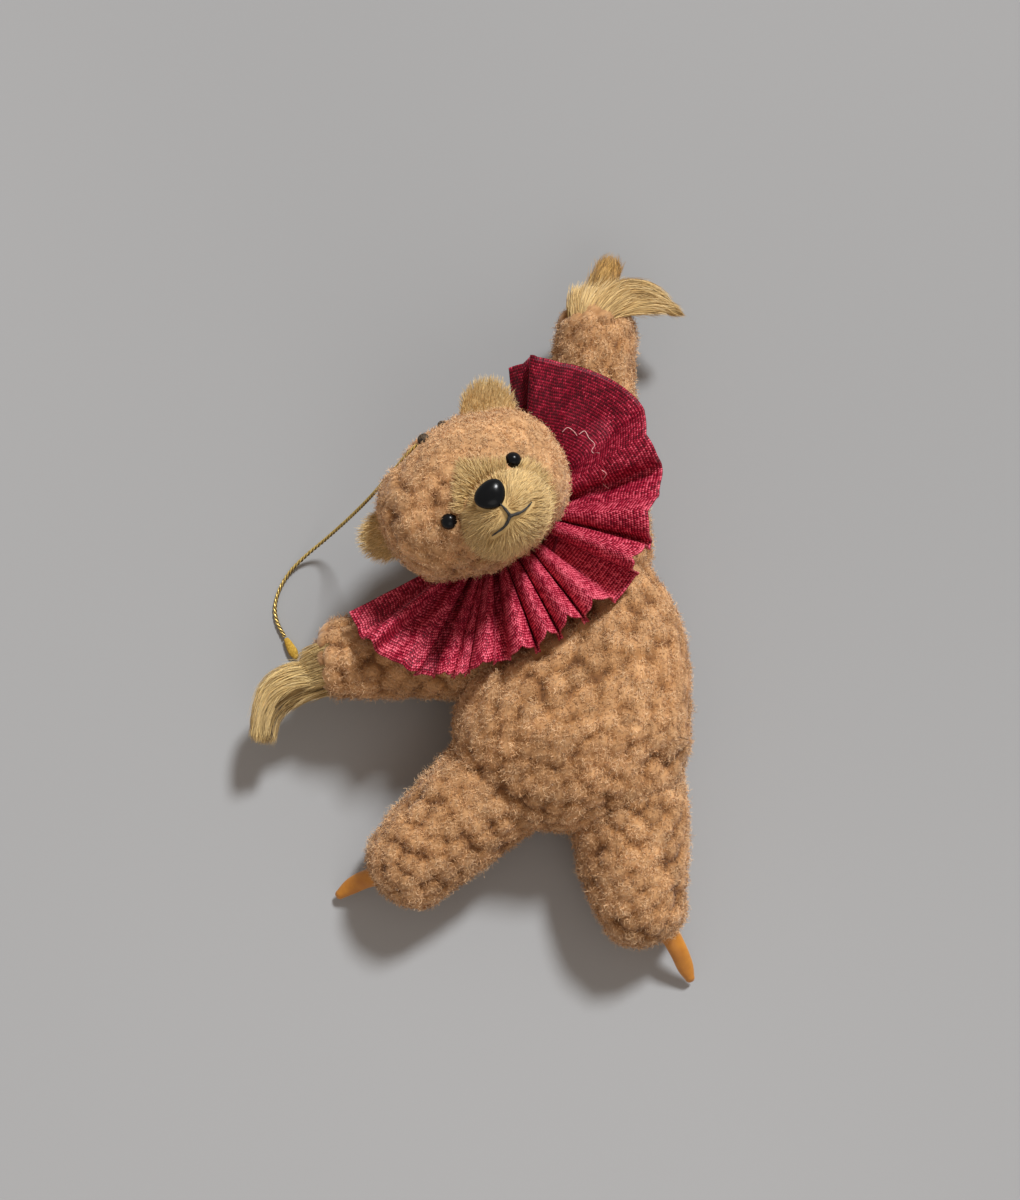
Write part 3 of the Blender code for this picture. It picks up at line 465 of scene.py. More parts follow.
def along_surface(vectors, normals):
    """The part of each vector that runs along a surface with these normals."""
    return vectors - normals * np.einsum("ij,ij->i", vectors, normals)[:, None]


def travelled(route):
    """How far along a route each of its points lies."""
    return np.concatenate(([0.0], np.cumsum(np.linalg.norm(np.diff(route, axis=0), axis=1))))


def curve(stations, count):
    """Points spread over the whole curve through the stations."""
    return through(stations, np.linspace(0, len(stations) - 1, count))


def spun(x, y, angle_deg):
    """Coordinates after a turn about their origin."""
    cos, sin = math.cos(math.radians(angle_deg)), math.sin(math.radians(angle_deg))
    return x * cos - y * sin, x * sin + y * cos


def spokes(around):
    return np.linspace(0, 2 * math.pi, around, endpoint=False)[None, :]


def unit_ball(rings, around):
    """Points of a ball of radius 1, in rings from its top to its bottom."""
    v = np.linspace(0, math.pi, rings + 1)[:, None]
    turn = spokes(around)
    return np.stack((np.sin(v) * np.cos(turn), np.sin(v) * np.sin(turn), np.cos(v) + 0 * turn), -1)


def on_form(stations, caps, v, turn, grow, cap_share=0.26):
    """Bench points on a stuffed form: v runs from its first pole to its last, turn goes round it."""
    last = len(stations) - 1
    v, turn, grow = np.broadcast_arrays(np.asarray(v, float), turn, grow)
    along = np.clip((v - cap_share) / (1 - 2 * cap_share), 0, 1) * last
    here = through(stations, along)
    way = through(stations, np.minimum(along + 0.02, last)) - through(stations, np.maximum(along - 0.02, 0))
    heading = way[..., :3] / np.maximum(np.hypot(way[..., 0], way[..., 1]), 1e-9)[..., None]
    side = np.stack((heading[..., 1], -heading[..., 0], np.zeros_like(v)), -1)
    first = np.clip(v / cap_share, 0, 1) * math.pi / 2
    final = np.clip((1 - v) / cap_share, 0, 1) * math.pi / 2
    full = np.sin(first) * np.sin(final)
    shift = (caps[1] + grow) * np.cos(final) - (caps[0] + grow) * np.cos(first)
    width = (here[..., 3] + grow) * full
    height = (here[..., 4] + grow) * full
    spot = here[..., :3] + heading * shift[..., None] + side * (width * np.cos(turn))[..., None]
    spot[..., 2] += height * np.sin(turn)
    return spot


def along_heading(start, heading_deg, form):
    """Bench stations of a form given along a heading: distance, offset to the right, z and half-sizes."""
    heading = math.radians(heading_deg)
    ahead = (math.cos(heading), math.sin(heading))
    stations = []
    for distance, offset, *rest in form:
        x = start[0] + ahead[0] * distance + ahead[1] * offset
        y = start[1] + ahead[1] * distance - ahead[0] * offset
        stations.append((x, y, *rest))
    return stations


def limb_stations(name):
    joint, heading_deg, length, form = LIMBS[name]
    return along_heading(joint, heading_deg, [(share * length, *rest) for share, *rest in form])


def end_stations(limb, form):
    """Bench stations of a paw or slipper at the cuff of its limb."""
    return along_heading(limb_stations(limb)[-1], LIMBS[limb][1], form)


def form_grid(stations, caps, rings, around, grow=0.0):
    return on_form(stations, caps, np.linspace(0, 1, rings + 1)[:, None], spokes(around), grow)


def head_axes():
    """The head's own axes on the bench, one a row: e, u and f."""
    lean = math.radians(HEAD_LEAN_DEG)
    left = (math.cos(lean), math.sin(lean), 0.0)
    brow = (-math.sin(lean), math.cos(lean), 0.0)
    return np.array((left, brow, (0.0, 0.0, 1.0)))


def on_head(points):
    """Bench points from the head's own axes."""
    return np.array(HEAD) + np.asarray(points, float) @ head_axes()


def in_head(points):
    """The head's own e, u and f of bench points."""
    return ((points - np.array(HEAD)) @ head_axes().T).T


def oval(e, u, middle, half, grow=0.0):
    """Below 1 inside an oval of the face with that middle and those halves."""
    return ((e - middle[0]) / (half[0] + grow)) ** 2 + ((u - middle[1]) / (half[1] + grow)) ** 2


def near_eyes(e, u, radius):
    """Whether spots of the face lie within that distance of an eye's middle."""
    return np.hypot(np.abs(e) - EYE_SPREAD, u + EYE_DROP) < radius


def head_surface(e, u):
    """How far the head's front stands off its middle at e and u."""
    along, over = spun(e, u, -HEAD_FORM_TURN_DEG)
    half, brow, depth = HEAD_HALVES
    rise = (over - HEAD_BROW_RISE) / brow
    return depth * np.sqrt(np.maximum(1.0 - (along / half) ** 2 - rise**2, 0.0))


def muzzle_surface(e, u):
    share = oval(e, u, MUZZLE_MIDDLE, MUZZLE_HALF)
    return MUZZLE_MIDDLE[2] + MUZZLE_HALF[2] * np.sqrt(np.maximum(1.0 - share, 0.0))


def out_of_head(e, u):
    """Directions out of the head at e and u, on bench axes."""
    step = 0.05
    slope_e = (head_surface(e + step, u) - head_surface(e - step, u)) / (2 * step)
    slope_u = (head_surface(e, u + step) - head_surface(e, u - step)) / (2 * step)
    return unit(np.stack((-slope_e, -slope_u, np.ones_like(slope_e)), -1)) @ head_axes()


def ellipsoid_grid(middle, half, rings, around, turn_deg=0.0, taper=0.0):
    """Bench points of an ellipsoid on the head's axes, its poles along f."""
    x, y, z = np.moveaxis(unit_ball(rings, around), -1, 0)
    x, y = spun(x * half[0] * (1 + taper * y), y * half[1], turn_deg)
    return on_head(np.stack((x, y, z * half[2]), -1) + np.asarray(middle))


def grid_faces(rings, around):
    """Quads of a closed grid of rings; the first and last rings are single points."""
    faces = []
    for i in range(rings):
        for j in range(around):
            k = (j + 1) % around
            if i == 0:
                faces.append((0, 1 + k, 1 + j))
            elif i == rings - 1:
                faces.append((1 + (i - 1) * around + j, 1 + (i - 1) * around + k, 1 + i * around))
            else:
                a = 1 + (i - 1) * around
                b = 1 + i * around
                faces.append((a + j, a + k, b + k, b + j))
    return faces


def triangles(faces):
    """Corners of the triangles that the faces fall into."""
    return np.array([(f[0], f[i], f[i + 1]) for f in faces for i in range(1, len(f) - 1)])


def flats(verts, tris):
    """Normals of triangles, each twice as long as its triangle is large."""
    a, b, c = (verts[tris[:, i]] for i in range(3))
    return np.cross(b - a, c - a)


def closed_grid(grid):
    """Vertices and outward faces of a grid whose first and last rings are poles."""
    rings, around = grid.shape[0] - 1, grid.shape[1]
    verts = np.vstack((grid[0].mean(0)[None], grid[1:-1].reshape(-1, 3), grid[-1].mean(0)[None]))
    faces = grid_faces(rings, around)
    tri = verts[triangles(faces)]
    if np.einsum("ij,ij->i", tri[:, 0], np.cross(tri[:, 1], tri[:, 2])).sum() < 0:
        faces = [tuple(reversed(f)) for f in faces]
    return verts, faces


class Skin:
    """A closed surface that fibres and tufts are placed on."""

    def __init__(self, verts, faces):
        self.verts = verts
        self.faces = faces
        self.tris = triangles(faces)
        self.tree = BVHTree.FromPolygons([tuple(v) for v in verts], [tuple(t) for t in self.tris])
        flat = flats(verts, self.tris)
        self.areas = np.linalg.norm(flat, axis=1) / 2
        normals = np.zeros_like(verts)
        for i in range(3):
            np.add.at(normals, self.tris[:, i], flat)
        self.normals = unit(normals)

    def sample(self, count, rng):
        """Random spots spread evenly over the surface, with their normals."""
        tri = self.tris[rng.choice(len(self.areas), size=count, p=self.areas / self.areas.sum())]
        r1 = np.sqrt(rng.random(count))[:, None]
        r2 = rng.random(count)[:, None]
        weights = (1 - r1, r1 * (1 - r2), r1 * r2)
        spots = sum(w * self.verts[tri[:, i]] for i, w in enumerate(weights))
        normals = unit(sum(w * self.normals[tri[:, i]] for i, w in enumerate(weights)))
        return spots, normals

    def depth(self, points):
        """How deep each point lies under this surface; negative outside."""
        found = np.empty(len(points))
        for i, p in enumerate(points):
            spot, normal, _, distance = self.tree.find_nearest(p)
            found[i] = distance if (Vector(p) - spot).dot(normal) < 0 else -distance
        return found


def form_skin(stations, caps, rings=30, around=40):
    return Skin(*closed_grid(form_grid(stations, caps, rings, around)))


def limb_caps(stations):
    return stations[0][3], CUFF_ROUNDING


def spread(spots, least):
    """The indices of spots that keep at least that distance from each other."""
    kept = []
    cells = {}
    for i, p in enumerate(spots):
        cell = tuple((p // least).astype(int))
        around = product(*((k - 1, k, k + 1) for k in cell))
        near = (j for place in around for j in cells.get(place, ()))
        if all(np.sum((spots[j] - p) ** 2) >= least * least for j in near):
            kept.append(i)
            cells.setdefault(cell, []).append(i)
    return np.array(kept)


def nearest(points, centres):
    """The index of the nearest centre and the distance to it, for each point."""
    index = np.empty(len(points), int)
    distance = np.empty(len(points))
    for start in range(0, len(points), SEARCHED_AT_ONCE):
        batch = slice(start, start + SEARCHED_AT_ONCE)
        part = points[batch]
        gaps = ((part[:, None, :] - centres[None]) ** 2).sum(-1)
        best = gaps.argmin(1)
        index[batch] = best
        distance[batch] = np.sqrt(gaps[np.arange(len(part)), best])
    return index, distance


def clear_of_floor(points):
    points[..., 2] = np.maximum(points[..., 2], FLOOR_CLEARANCE)
    return points


def draws(name):
    return np.random.default_rng(SEEDS[name])


# Pieces


def placed(name, data):
    """A new object of the scene with this data."""
    obj = bpy.data.objects.new(name, data)
    bpy.context.scene.collection.objects.link(obj)
    return obj


def new_piece(name, verts, faces, body, slot, material, shade=None):
    """A mesh piece from bench points, riding on a body of the frame."""
    mesh = bpy.data.meshes.new(name)
    mesh.from_pydata(at(verts).tolist(), [], faces if isinstance(faces, list) else faces.tolist())
    if shade is not None:
        colours = np.ones((len(verts), 4), np.float32)
        colours[:, :3] = shade
        layer = mesh.attributes.new("shade", "FLOAT_COLOR", "POINT")
        layer.data.foreach_set("color", colours.ravel())
    mesh.shade_smooth()
    mesh.materials.append(material)
    obj = placed(name, mesh)
    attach(obj, body)
    return obj


def fibres(name, lines, outward, half_widths, shade, body, slot, material, rng):
    """Fibres as flat tapering ribbons along lines of bench points, in pieces of a sane size."""
    count, steps = lines.shape[:2]
    way = np.gradient(lines, axis=1)
    tilt = outward[:, None, :] + FIBRE_TILT * rng.standard_normal((count, 1, 3))
    across = unit(np.cross(way, np.broadcast_to(tilt, lines.shape)))
    reach = across * np.asarray(half_widths)[None, :, None] * rng.uniform(0.75, 1.25, (count, 1, 1))
    sides = clear_of_floor(np.stack((lines - reach, lines + reach), 2))
    most = MOST_FACES // (2 * (steps - 1))
    for number, start in enumerate(range(0, count, most)):
        batch = slice(start, start + most)
        part = sides[batch]
        tint = np.repeat(shade[batch], 2, axis=1).reshape(-1, 3)
        base = (np.arange(len(part)) * steps * 2)[:, None] + (np.arange(steps - 1) * 2)[None, :]
        quads = np.stack((base, base + 1, base + 3, base + 2), -1).reshape(-1, 4)
        label = name if count <= most else f"{name}_{number + 1}"
        new_piece(label, part.reshape(-1, 3), quads, body, slot, material, tint)


def taper(steps, thick, root, narrows, power):
    """Half-widths of a fibre from root to tip: thick against the fur's, and how it narrows."""
    return FIBRE_HALF_WIDTH * thick * (root - narrows * np.linspace(0, 1, steps) ** power)


FUR_WIDTHS = taper(FIBRE_POINTS, 1.0, 1.1, 0.75, 2)
FACE_WIDTHS = taper(FACE_POINTS, 1.05, 1.1, 0.9, 2)
PAW_WIDTHS = taper(PAW_POINTS, 1.15, 1.05, 0.85, 3)


def tint_of(index):
    """A level between 0 and 1 of its own for each tuft or lock."""
    return (index * GOLDEN) % 1.0


def tinted(along, by_fibre, by_tuft):
    """The shade of fibres: from root to tip, which paints shade towards the roots, then by fibre, and by
    tuft or lock.
    """
    shade = np.empty((len(by_fibre), along.shape[1], 3))
    shade[..., 0] = along
    shade[..., 1] = by_fibre[:, None]
    shade[..., 2] = by_tuft[:, None]
    return shade


# Materials

# Tints by fibre and by tuft, and colours of the ribbon and the floor from dark to bright
FIBRE_TINTS = ((0.0, (0.72, 0.69, 0.66)), (1.0, (1.14, 1.14, 1.12)))
TUFT_TINTS = ((0.0, (0.86, 0.84, 0.82)), (1.0, (1.08, 1.07, 1.05)))
# The ribbon's brightest stop is partly the pale floats' own colour and partly painted glint on them
RIBBON_STOPS = (
    (0.08, (0.06, 0.0012, 0.006)),
    (0.42, (0.22, 0.004, 0.019)),
    (0.72, (0.44, 0.011, 0.045)),
    (0.93, (0.92, 0.17, 0.24)),
)
FLOOR_STOPS = ((0.3, (0.345, 0.36, 0.37)), (0.7, (0.385, 0.40, 0.41)))


def material_with(name):
    material = bpy.data.materials.new(name)
    material.use_nodes = True
    tree = material.node_tree
    return material, tree, tree.nodes["Principled BSDF"]


def plug(socket, value):
    """Gives an input its value, or links it to another node's output."""
    if isinstance(value, bpy.types.NodeSocket):
        socket.id_data.links.new(value, socket)
    else:
        socket.default_value = value


def feed(made, **values):
    """Plugs a node's inputs, named with _ for each space, and gives the node back."""
    for name, value in values.items():
        plug(made.inputs[name.replace("_", " ")], value)
    return made


def shade_of(tree, output):
    return node(tree, "ShaderNodeAttribute", attribute_name="shade").outputs[output]


def node(tree, kind, **settings):
    made = tree.nodes.new(kind)
    for key, value in settings.items():
        setattr(made, key, value)
    return made


def ramp(tree, source, stops):
    """Colours, or plain levels, at places between 0 and 1."""
    made = feed(node(tree, "ShaderNodeValToRGB"), Fac=source)
    points = made.color_ramp.elements
    while len(points) < len(stops):
        points.new(0.5)
    for point, (place, colour) in zip(points, stops):
        point.position = place
        point.color = (*np.broadcast_to(colour, 3), 1.0)
    return made.outputs["Color"]


def mixed(tree, factor, first, second, blend_type="MIX"):
    made = node(tree, "ShaderNodeMix", data_type="RGBA", blend_type=blend_type)
    for index, value in ((0, factor), (6, first), (7, second)):
        plug(made.inputs[index], value)
    return made.outputs[2]


def maths(tree, operation, first, second=0.0):
    made = node(tree, "ShaderNodeMath", operation=operation)
    plug(made.inputs[0], first)
    plug(made.inputs[1], second)
    return made.outputs[0]


def bumped(tree, shader, height, distance, strength=1.0):
    bump = feed(node(tree, "ShaderNodeBump"), Strength=strength, Distance=distance, Height=height)
    feed(shader, Normal=bump.outputs["Normal"])


def noise(tree, scale, detail=3.0, roughness=0.55):
    """Noise on the object's own coordinates, which are metres of the row frame."""
    place = node(tree, "ShaderNodeTexCoord").outputs["Object"]
    made = feed(node(tree, "ShaderNodeTexNoise"), Vector=place, Scale=scale, Detail=detail)
    return feed(made, Roughness=roughness).outputs["Fac"]


def fur_material(name, stops, patches, patch_scale, roughness, sheen):
    """Fibre colour: red of the shade runs from root to tip as painted shade; green and blue differ by fibre
    and by tuft.
    """
    material, tree, shader = material_with(name)
    parts = feed(node(tree, "ShaderNodeSeparateColor"), Color=shade_of(tree, "Color")).outputs
    colour = ramp(tree, parts["Red"], stops)
    for source, tints in (
        (parts["Green"], FIBRE_TINTS),
        (parts["Blue"], TUFT_TINTS),
        (noise(tree, patch_scale, 2.0), ((0.35, patches[0]), (0.65, patches[1]))),
    ):
        colour = mixed(tree, 1.0, colour, ramp(tree, source, tints), "MULTIPLY")
    feed(shader, Base_Color=colour, Roughness=roughness, Specular_IOR_Level=0.25)
    feed(shader, Sheen_Weight=sheen, Sheen_Roughness=0.5)
    return material


def plain_gloss(name, colour, roughness):
    """Moulded plastic with faint handling marks in its polish."""
    material, tree, shader = material_with(name)
    marks = ramp(tree, noise(tree, 900.0, 4.0), ((0.4, roughness), (0.7, roughness + 0.1)))
    worn = tuple(channel * 1.6 for channel in colour)
    tint = ramp(tree, noise(tree, 500.0, 2.0), ((0.3, colour), (0.8, worn)))
    feed(shader, Base_Color=tint, Roughness=marks, Specular_IOR_Level=0.22)
    return material


def thread_material(name, dark, light, roughness=0.7):
    """Twisted thread: fine turns of lighter and darker fibre."""
    material, tree, shader = material_with(name)
    twist = noise(tree, 2600.0, 3.0)
    bumped(tree, shader, twist, 0.00008)
    feed(shader, Base_Color=ramp(tree, twist, ((0.35, dark), (0.65, light))), Roughness=roughness)
    return material


def leather_material():
    """Smooth dyed leather in soft patches, with a painted highlight along its edges."""
    material, tree, shader = material_with("slipper_leather")
    patches = ramp(tree, noise(tree, 260.0, 3.0), ((0.3, (0.47, 0.165, 0.018)), (0.7, (0.64, 0.27, 0.03))))
    polish = ramp(tree, noise(tree, 700.0, 2.0), ((0.3, 0.34), (0.7, 0.5)))
    # Painted highlight: paler where the shade attribute marks the tongue's edges
    colour = mixed(tree, shade_of(tree, "Fac"), patches, (0.80, 0.42, 0.14, 1.0))
    bumped(tree, shader, noise(tree, 3200.0, 4.0, 0.6), 0.00006, 0.6)
    feed(shader, Base_Color=colour, Roughness=polish)
    return material


def ribbon_material():
    """Woven ribbon: rows of bright floats over a dark ground, laid along the ribbon's length; the floats'
    brightness is partly painted glint.
    """
    material, tree, shader = material_with("ribbon")

    def plus(first, second):
        return maths(tree, "ADD", first, second)

    def times(first, second):
        return maths(tree, "MULTIPLY", first, second)

    def wave(value, pitch):
        return maths(tree, "SINE", times(value, 2 * math.pi / pitch))

    def count(value, pitch):
        return maths(tree, "FLOOR", maths(tree, "DIVIDE", value, pitch))

    place = node(tree, "ShaderNodeUVMap", uv_map="ribbon_mm").outputs["UV"]
    parts = feed(node(tree, "ShaderNodeSeparateXYZ"), Vector=place).outputs
    along, across = parts["X"], parts["Y"]
    row = count(across, ROW_PITCH)
    shift = times(maths(tree, "MODULO", row, 2.0), FLOAT_PITCH / 2)
    floats = wave(plus(along, shift), FLOAT_PITCH)
    weave = plus(plus(times(wave(across, ROW_PITCH), 0.2), times(floats, 0.19)), 0.5)
    spot = feed(node(tree, "ShaderNodeCombineXYZ"), X=count(along, FLOAT_PITCH), Y=row).outputs["Vector"]
    speck = feed(node(tree, "ShaderNodeTexWhiteNoise", noise_dimensions="2D"), Vector=spot).outputs["Value"]
    soil = noise(tree, 420.0, 3.0)
    level = weave
    # Specks brighten some floats, partly as painted glint; the piece's shade adds painted light and shade by
    # rim angle
    for source, share in ((speck, 0.5), (soil, 0.5), (shade_of(tree, "Fac"), 0.6)):
        level = plus(level, times(maths(tree, "SUBTRACT", source, 0.5), share))
    bumped(tree, shader, weave, 0.00014, 0.8)
    polish = ramp(tree, level, ((0.3, 0.5), (0.8, 0.36)))
    feed(shader, Base_Color=ramp(tree, level, RIBBON_STOPS), Roughness=polish)
    feed(shader, Specular_IOR_Level=0.35, Specular_Tint=(1.0, 0.55, 0.62, 1.0))
    return material


def metal_thread_material(name, colour, dark, metallic):
    material, tree, shader = material_with(name)
    wear = ramp(tree, noise(tree, 1900.0, 2.0), ((0.35, dark), (0.6, colour)))
    bumped(tree, shader, noise(tree, 5200.0, 2.0), 0.00005, 0.6)
    feed(shader, Base_Color=wear, Metallic=metallic, Roughness=0.32)
    return material


def floor_material():
    material, tree, shader = material_with("pale_floor")
    feed(shader, Base_Color=ramp(tree, noise(tree, 3.0, 1.0), FLOOR_STOPS), Roughness=0.9)
    return material


# Fur colours from dark to bright: the dark end is painted shade at the roots, between tufts and on the skins
# under the fibres
BODY_STOPS = (
    (0.0, (0.20, 0.086, 0.030)),
    (0.3, (0.44, 0.225, 0.088)),
    (0.7, (0.78, 0.495, 0.26)),
    (1.0, (0.90, 0.665, 0.42)),
)
HEAD_STOPS = (
    (0.0, (0.24, 0.11, 0.042)),
    (0.3, (0.50, 0.27, 0.115)),
    (0.7, (0.83, 0.535, 0.285)),
    (1.0, (0.93, 0.69, 0.43)),
)
CREAM_STOPS = (
    (0.0, (0.30, 0.17, 0.06)),
    (0.35, (0.62, 0.42, 0.17)),
    (0.8, (0.80, 0.595, 0.275)),
    (1.0, (0.88, 0.70, 0.39)),
)
PAW_STOPS = (
    (0.0, (0.28, 0.17, 0.06)),
    (0.35, (0.58, 0.42, 0.175)),
    (0.8, (0.83, 0.64, 0.30)),
    (1.0, (0.91, 0.75, 0.42)),
)
THUMB_STOPS = (
    (0.0, (0.26, 0.13, 0.035)),
    (0.4, (0.50, 0.30, 0.09)),
    (1.0, (0.70, 0.47, 0.17)),
)

# The darker tint of the paws' broad patches
PAW_DARK = (0.9, 0.9, 0.88)

PLUSH = fur_material("body_fur", BODY_STOPS, ((0.94, 0.93, 0.91), (1.06,) * 3), 90.0, 0.85, 0.25)
HEAD_PLUSH = fur_material("head_fur", HEAD_STOPS, ((0.95, 0.94, 0.92), (1.05,) * 3), 90.0, 0.85, 0.25)
CREAM = fur_material("cream_mohair", CREAM_STOPS, ((0.95, 0.95, 0.92), (1.05, 1.05, 1.04)), 160.0, 0.7, 0.3)
PAW_MOHAIR = fur_material("paw_mohair", PAW_STOPS, (PAW_DARK, (1.08, 1.08, 1.06)), 200.0, 0.65, 0.3)
PAW_LIGHT = fur_material("paw_light_mohair", CREAM_STOPS, (PAW_DARK, (1.06, 1.06, 1.04)), 200.0, 0.65, 0.3)
THUMB_MOHAIR = fur_material("thumb_mohair", THUMB_STOPS, (PAW_DARK, (1.08, 1.06, 1.0)), 200.0, 0.6, 0.3)
GLOSS_BLACK = plain_gloss("gloss_black", (0.002, 0.002, 0.0025), 0.2)
BLACK_THREAD = thread_material("black_thread", (0.006, 0.005, 0.005), (0.05, 0.045, 0.04))
BROWN_KNOT = thread_material("brown_knot", (0.012, 0.007, 0.003), (0.10, 0.06, 0.028))
PALE_THREAD = thread_material("pale_thread", (0.75, 0.30, 0.32), (0.90, 0.55, 0.52))
RIBBON_THREAD = thread_material("ribbon_thread", (0.10, 0.004, 0.012), (0.30, 0.02, 0.05))
RIBBON = ribbon_material()
LEATHER = leather_material()
GOLD = metal_thread_material("gold_thread", (0.88, 0.64, 0.18), (0.52, 0.34, 0.08), 0.5)
# The cord's dark thread; in the braid's grooves it also paints shade
DARK_STRAND_AND_GROOVE_SHADE = thread_material("dark_strand_and_groove_shade", (0.025, 0.016, 0.006), (0.14, 0.085, 0.03))
FELT = thread_material("yellow_felt", (0.42, 0.24, 0.02), (0.66, 0.42, 0.06), 0.85)
STEEL = metal_thread_material("wire_steel", (0.36, 0.36, 0.37), (0.24, 0.24, 0.25), 1.0)


# Camera


def make_camera():
    data = bpy.data.cameras.new("camera")
    data.lens = CAMERA_LENS
    data.sensor_fit = "VERTICAL"
    data.sensor_height = CAMERA_SENSOR
    data.clip_start = 0.01
    data.clip_end = 10.0
    camera = placed("camera", data)
    high = math.radians(CAMERA_ELEVATION_DEG)
    away = Vector((0.0, -math.cos(high), math.sin(high))) * CAMERA_DISTANCE * MM
    camera.location = Vector(CAMERA_TARGET) * MM + away
    camera.rotation_euler = (math.pi / 2 - high, 0.0, 0.0)
    bpy.context.scene.camera = camera


# Cord


def tube(route, radii, around, lobes=0, lobe_depth=0.0, twist=0.0):
    """Vertices and faces of a closed tube round a route, and the phase of the lobes that wind along it."""
    way = unit(np.gradient(route, axis=0))
    side = unit(np.cross(way, UP) + 1e-9)
    over = np.cross(side, way)
    turn = spokes(around)
    phase = lobes * turn - twist * travelled(route)[:, None]
    radius = np.asarray(radii)[:, None] * (1 - lobe_depth * (0.5 - 0.5 * np.cos(phase)))
    ring = side[:, None] * np.cos(turn)[..., None] + over[:, None] * np.sin(turn)[..., None]
    grid = route[:, None] + ring * radius[..., None]
    ends = (route[:1, None].repeat(around, 1), grid, route[-1:, None].repeat(around, 1))
    return *closed_grid(np.concatenate(ends)), phase


def cord_wrap(route):
    """The felt wrap that the cord's last stretch runs into, level on the floor."""
    way = route[-1] - through(CORD_ROUTE, [len(CORD_ROUTE) - 1.05])[0]
    way[2] = 0.0
    way = unit(way)
    stations = []
    for share, width in SLEEVE_PROFILE:
        spot = route[-1] + way * (GAP + SLEEVE_CAPS[0] + share * SLEEVE_LENGTH)
        stations.append((*spot, SLEEVE_HALF[0] * width, SLEEVE_HALF[1] * width))
    verts, faces = closed_grid(form_grid(stations, SLEEVE_CAPS, 36, 32))
    verts = clear_of_floor(verts + draws("cord_wrap").normal(0, 0.02, verts.shape))
    sleeve = new_piece("cord_wrap", verts, faces, "head", "sleeve", FELT)
    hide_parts("cord_sleeve")
    return sleeve


def make_cord():
    route = curve(CORD_ROUTE, CORD_STEPS)
    radii = np.full(CORD_STEPS, CORD_RADIUS)
    twist = 2 * math.pi / CORD_PITCH
    verts, faces, phase = tube(route, radii, CORD_AROUND, CORD_STRANDS, CORD_GROOVE, twist)
    cord = new_piece("cord_braid", clear_of_floor(verts), faces, "head", "gold_cord", GOLD)
    cord.data.materials.append(DARK_STRAND_AND_GROOVE_SHADE)
    # The recessed half of the braid is dark: the braid's dark thread, with painted shade in its grooves
    groove = np.cos(phase) < 0
    for polygon in cord.data.polygons:
        ring, spoke = divmod(polygon.vertices[0] - 1, CORD_AROUND)
        if 0 <= ring < CORD_STEPS and groove[ring, spoke]:
            polygon.material_index = 1
    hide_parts("hang_cord")
    cord_wrap(route)


# Fur on the stuffed forms


def tufted(skin, rng):
    """Centres and sizes of the tufts on a skin."""
    candidates, _ = skin.sample(int(skin.areas.sum() / TUFT_SPACING**2 * TUFT_TRIES), rng)
    centres = candidates[spread(candidates, TUFT_SPACING * TUFT_APART)]
    return centres, rng.uniform(*TUFT_SIZES, len(centres))


def tuft_dome(distance, size, calm):
    """From 0 between tufts to 1 on a tuft's crown; calm fills the gaps between tufts."""
    share = np.clip(distance / (TUFT_SPACING * 0.78 * size**0.3), 0, 1)
    dome = np.sqrt(1 - share**2) * (0.7 + 0.3 * size)
    return dome + 0.75 * calm * (0.92 - dome)


def curled(skin, centres, size, rng, keep, length, calm):
    """Lines of curly fibres that stand out from the crowns of their tufts."""
    spots, normals = skin.sample(int(skin.areas.sum() * FIBRE_DENSITY), rng)
    chosen = keep(spots)
    spots, normals = spots[chosen], normals[chosen]
    count = len(spots)
    index, distance = nearest(spots, centres)
    size = size[index]
    dome = tuft_dome(distance, size, calm(spots))
    lean = along_surface(spots - centres[index], normals) / (TUFT_SPACING * 0.7)
    stand = unit(normals * 0.9 + lean + FIBRE_STRAY * rng.standard_normal((count, 3)))
    start = spots + normals * ((dome - 0.55) * TUFT_HEIGHT)[:, None]
    t = np.linspace(0, 1, FIBRE_POINTS)[None, :, None]
    first = unit(np.cross(stand, rng.standard_normal((count, 3))))[:, None]
    second = np.cross(stand[:, None], first)
    full = (0.7 + 0.3 * size) * (0.5 + 0.5 * dome)
    reach = (length * rng.uniform(*FIBRE_REACHES, count) * full)[:, None, None]
    turns = (rng.uniform(*CURL_TURNS, count) * rng.choice((-1, 1), count))[:, None, None]
    angle = rng.uniform(0, 2 * math.pi, count)[:, None, None] + 2 * math.pi * turns * t
    loop = CURL_RADIUS * rng.uniform(0.6, 1.5, (count, 1, 1)) * np.minimum(1.0, 2.2 * t)
    swirl = first * np.cos(angle) * loop + second * np.sin(angle) * loop
    droop = unit(rng.standard_normal((count, 3)))[:, None] * reach * FIBRE_DROOP * t**2
    lines = start[:, None] + stand[:, None] * reach * (t - FIBRE_DROOP * t**2) * 0.9 + swirl + droop
    # Painted shade: fibres in the gaps between tufts, and towards their roots, are darker than those on
    # crowns
    painted_tuft_shade = 0.16 + 0.92 * dome * (0.75 + 0.25 * np.clip(size, 0.6, 1.2))
    along = np.clip(painted_tuft_shade[:, None] * (0.42 + 0.64 * t[..., 0]), 0, 1)
    return lines, stand, tinted(along, rng.random(count), tint_of(index))


def no_calm(spots):
    return np.zeros(len(spots))


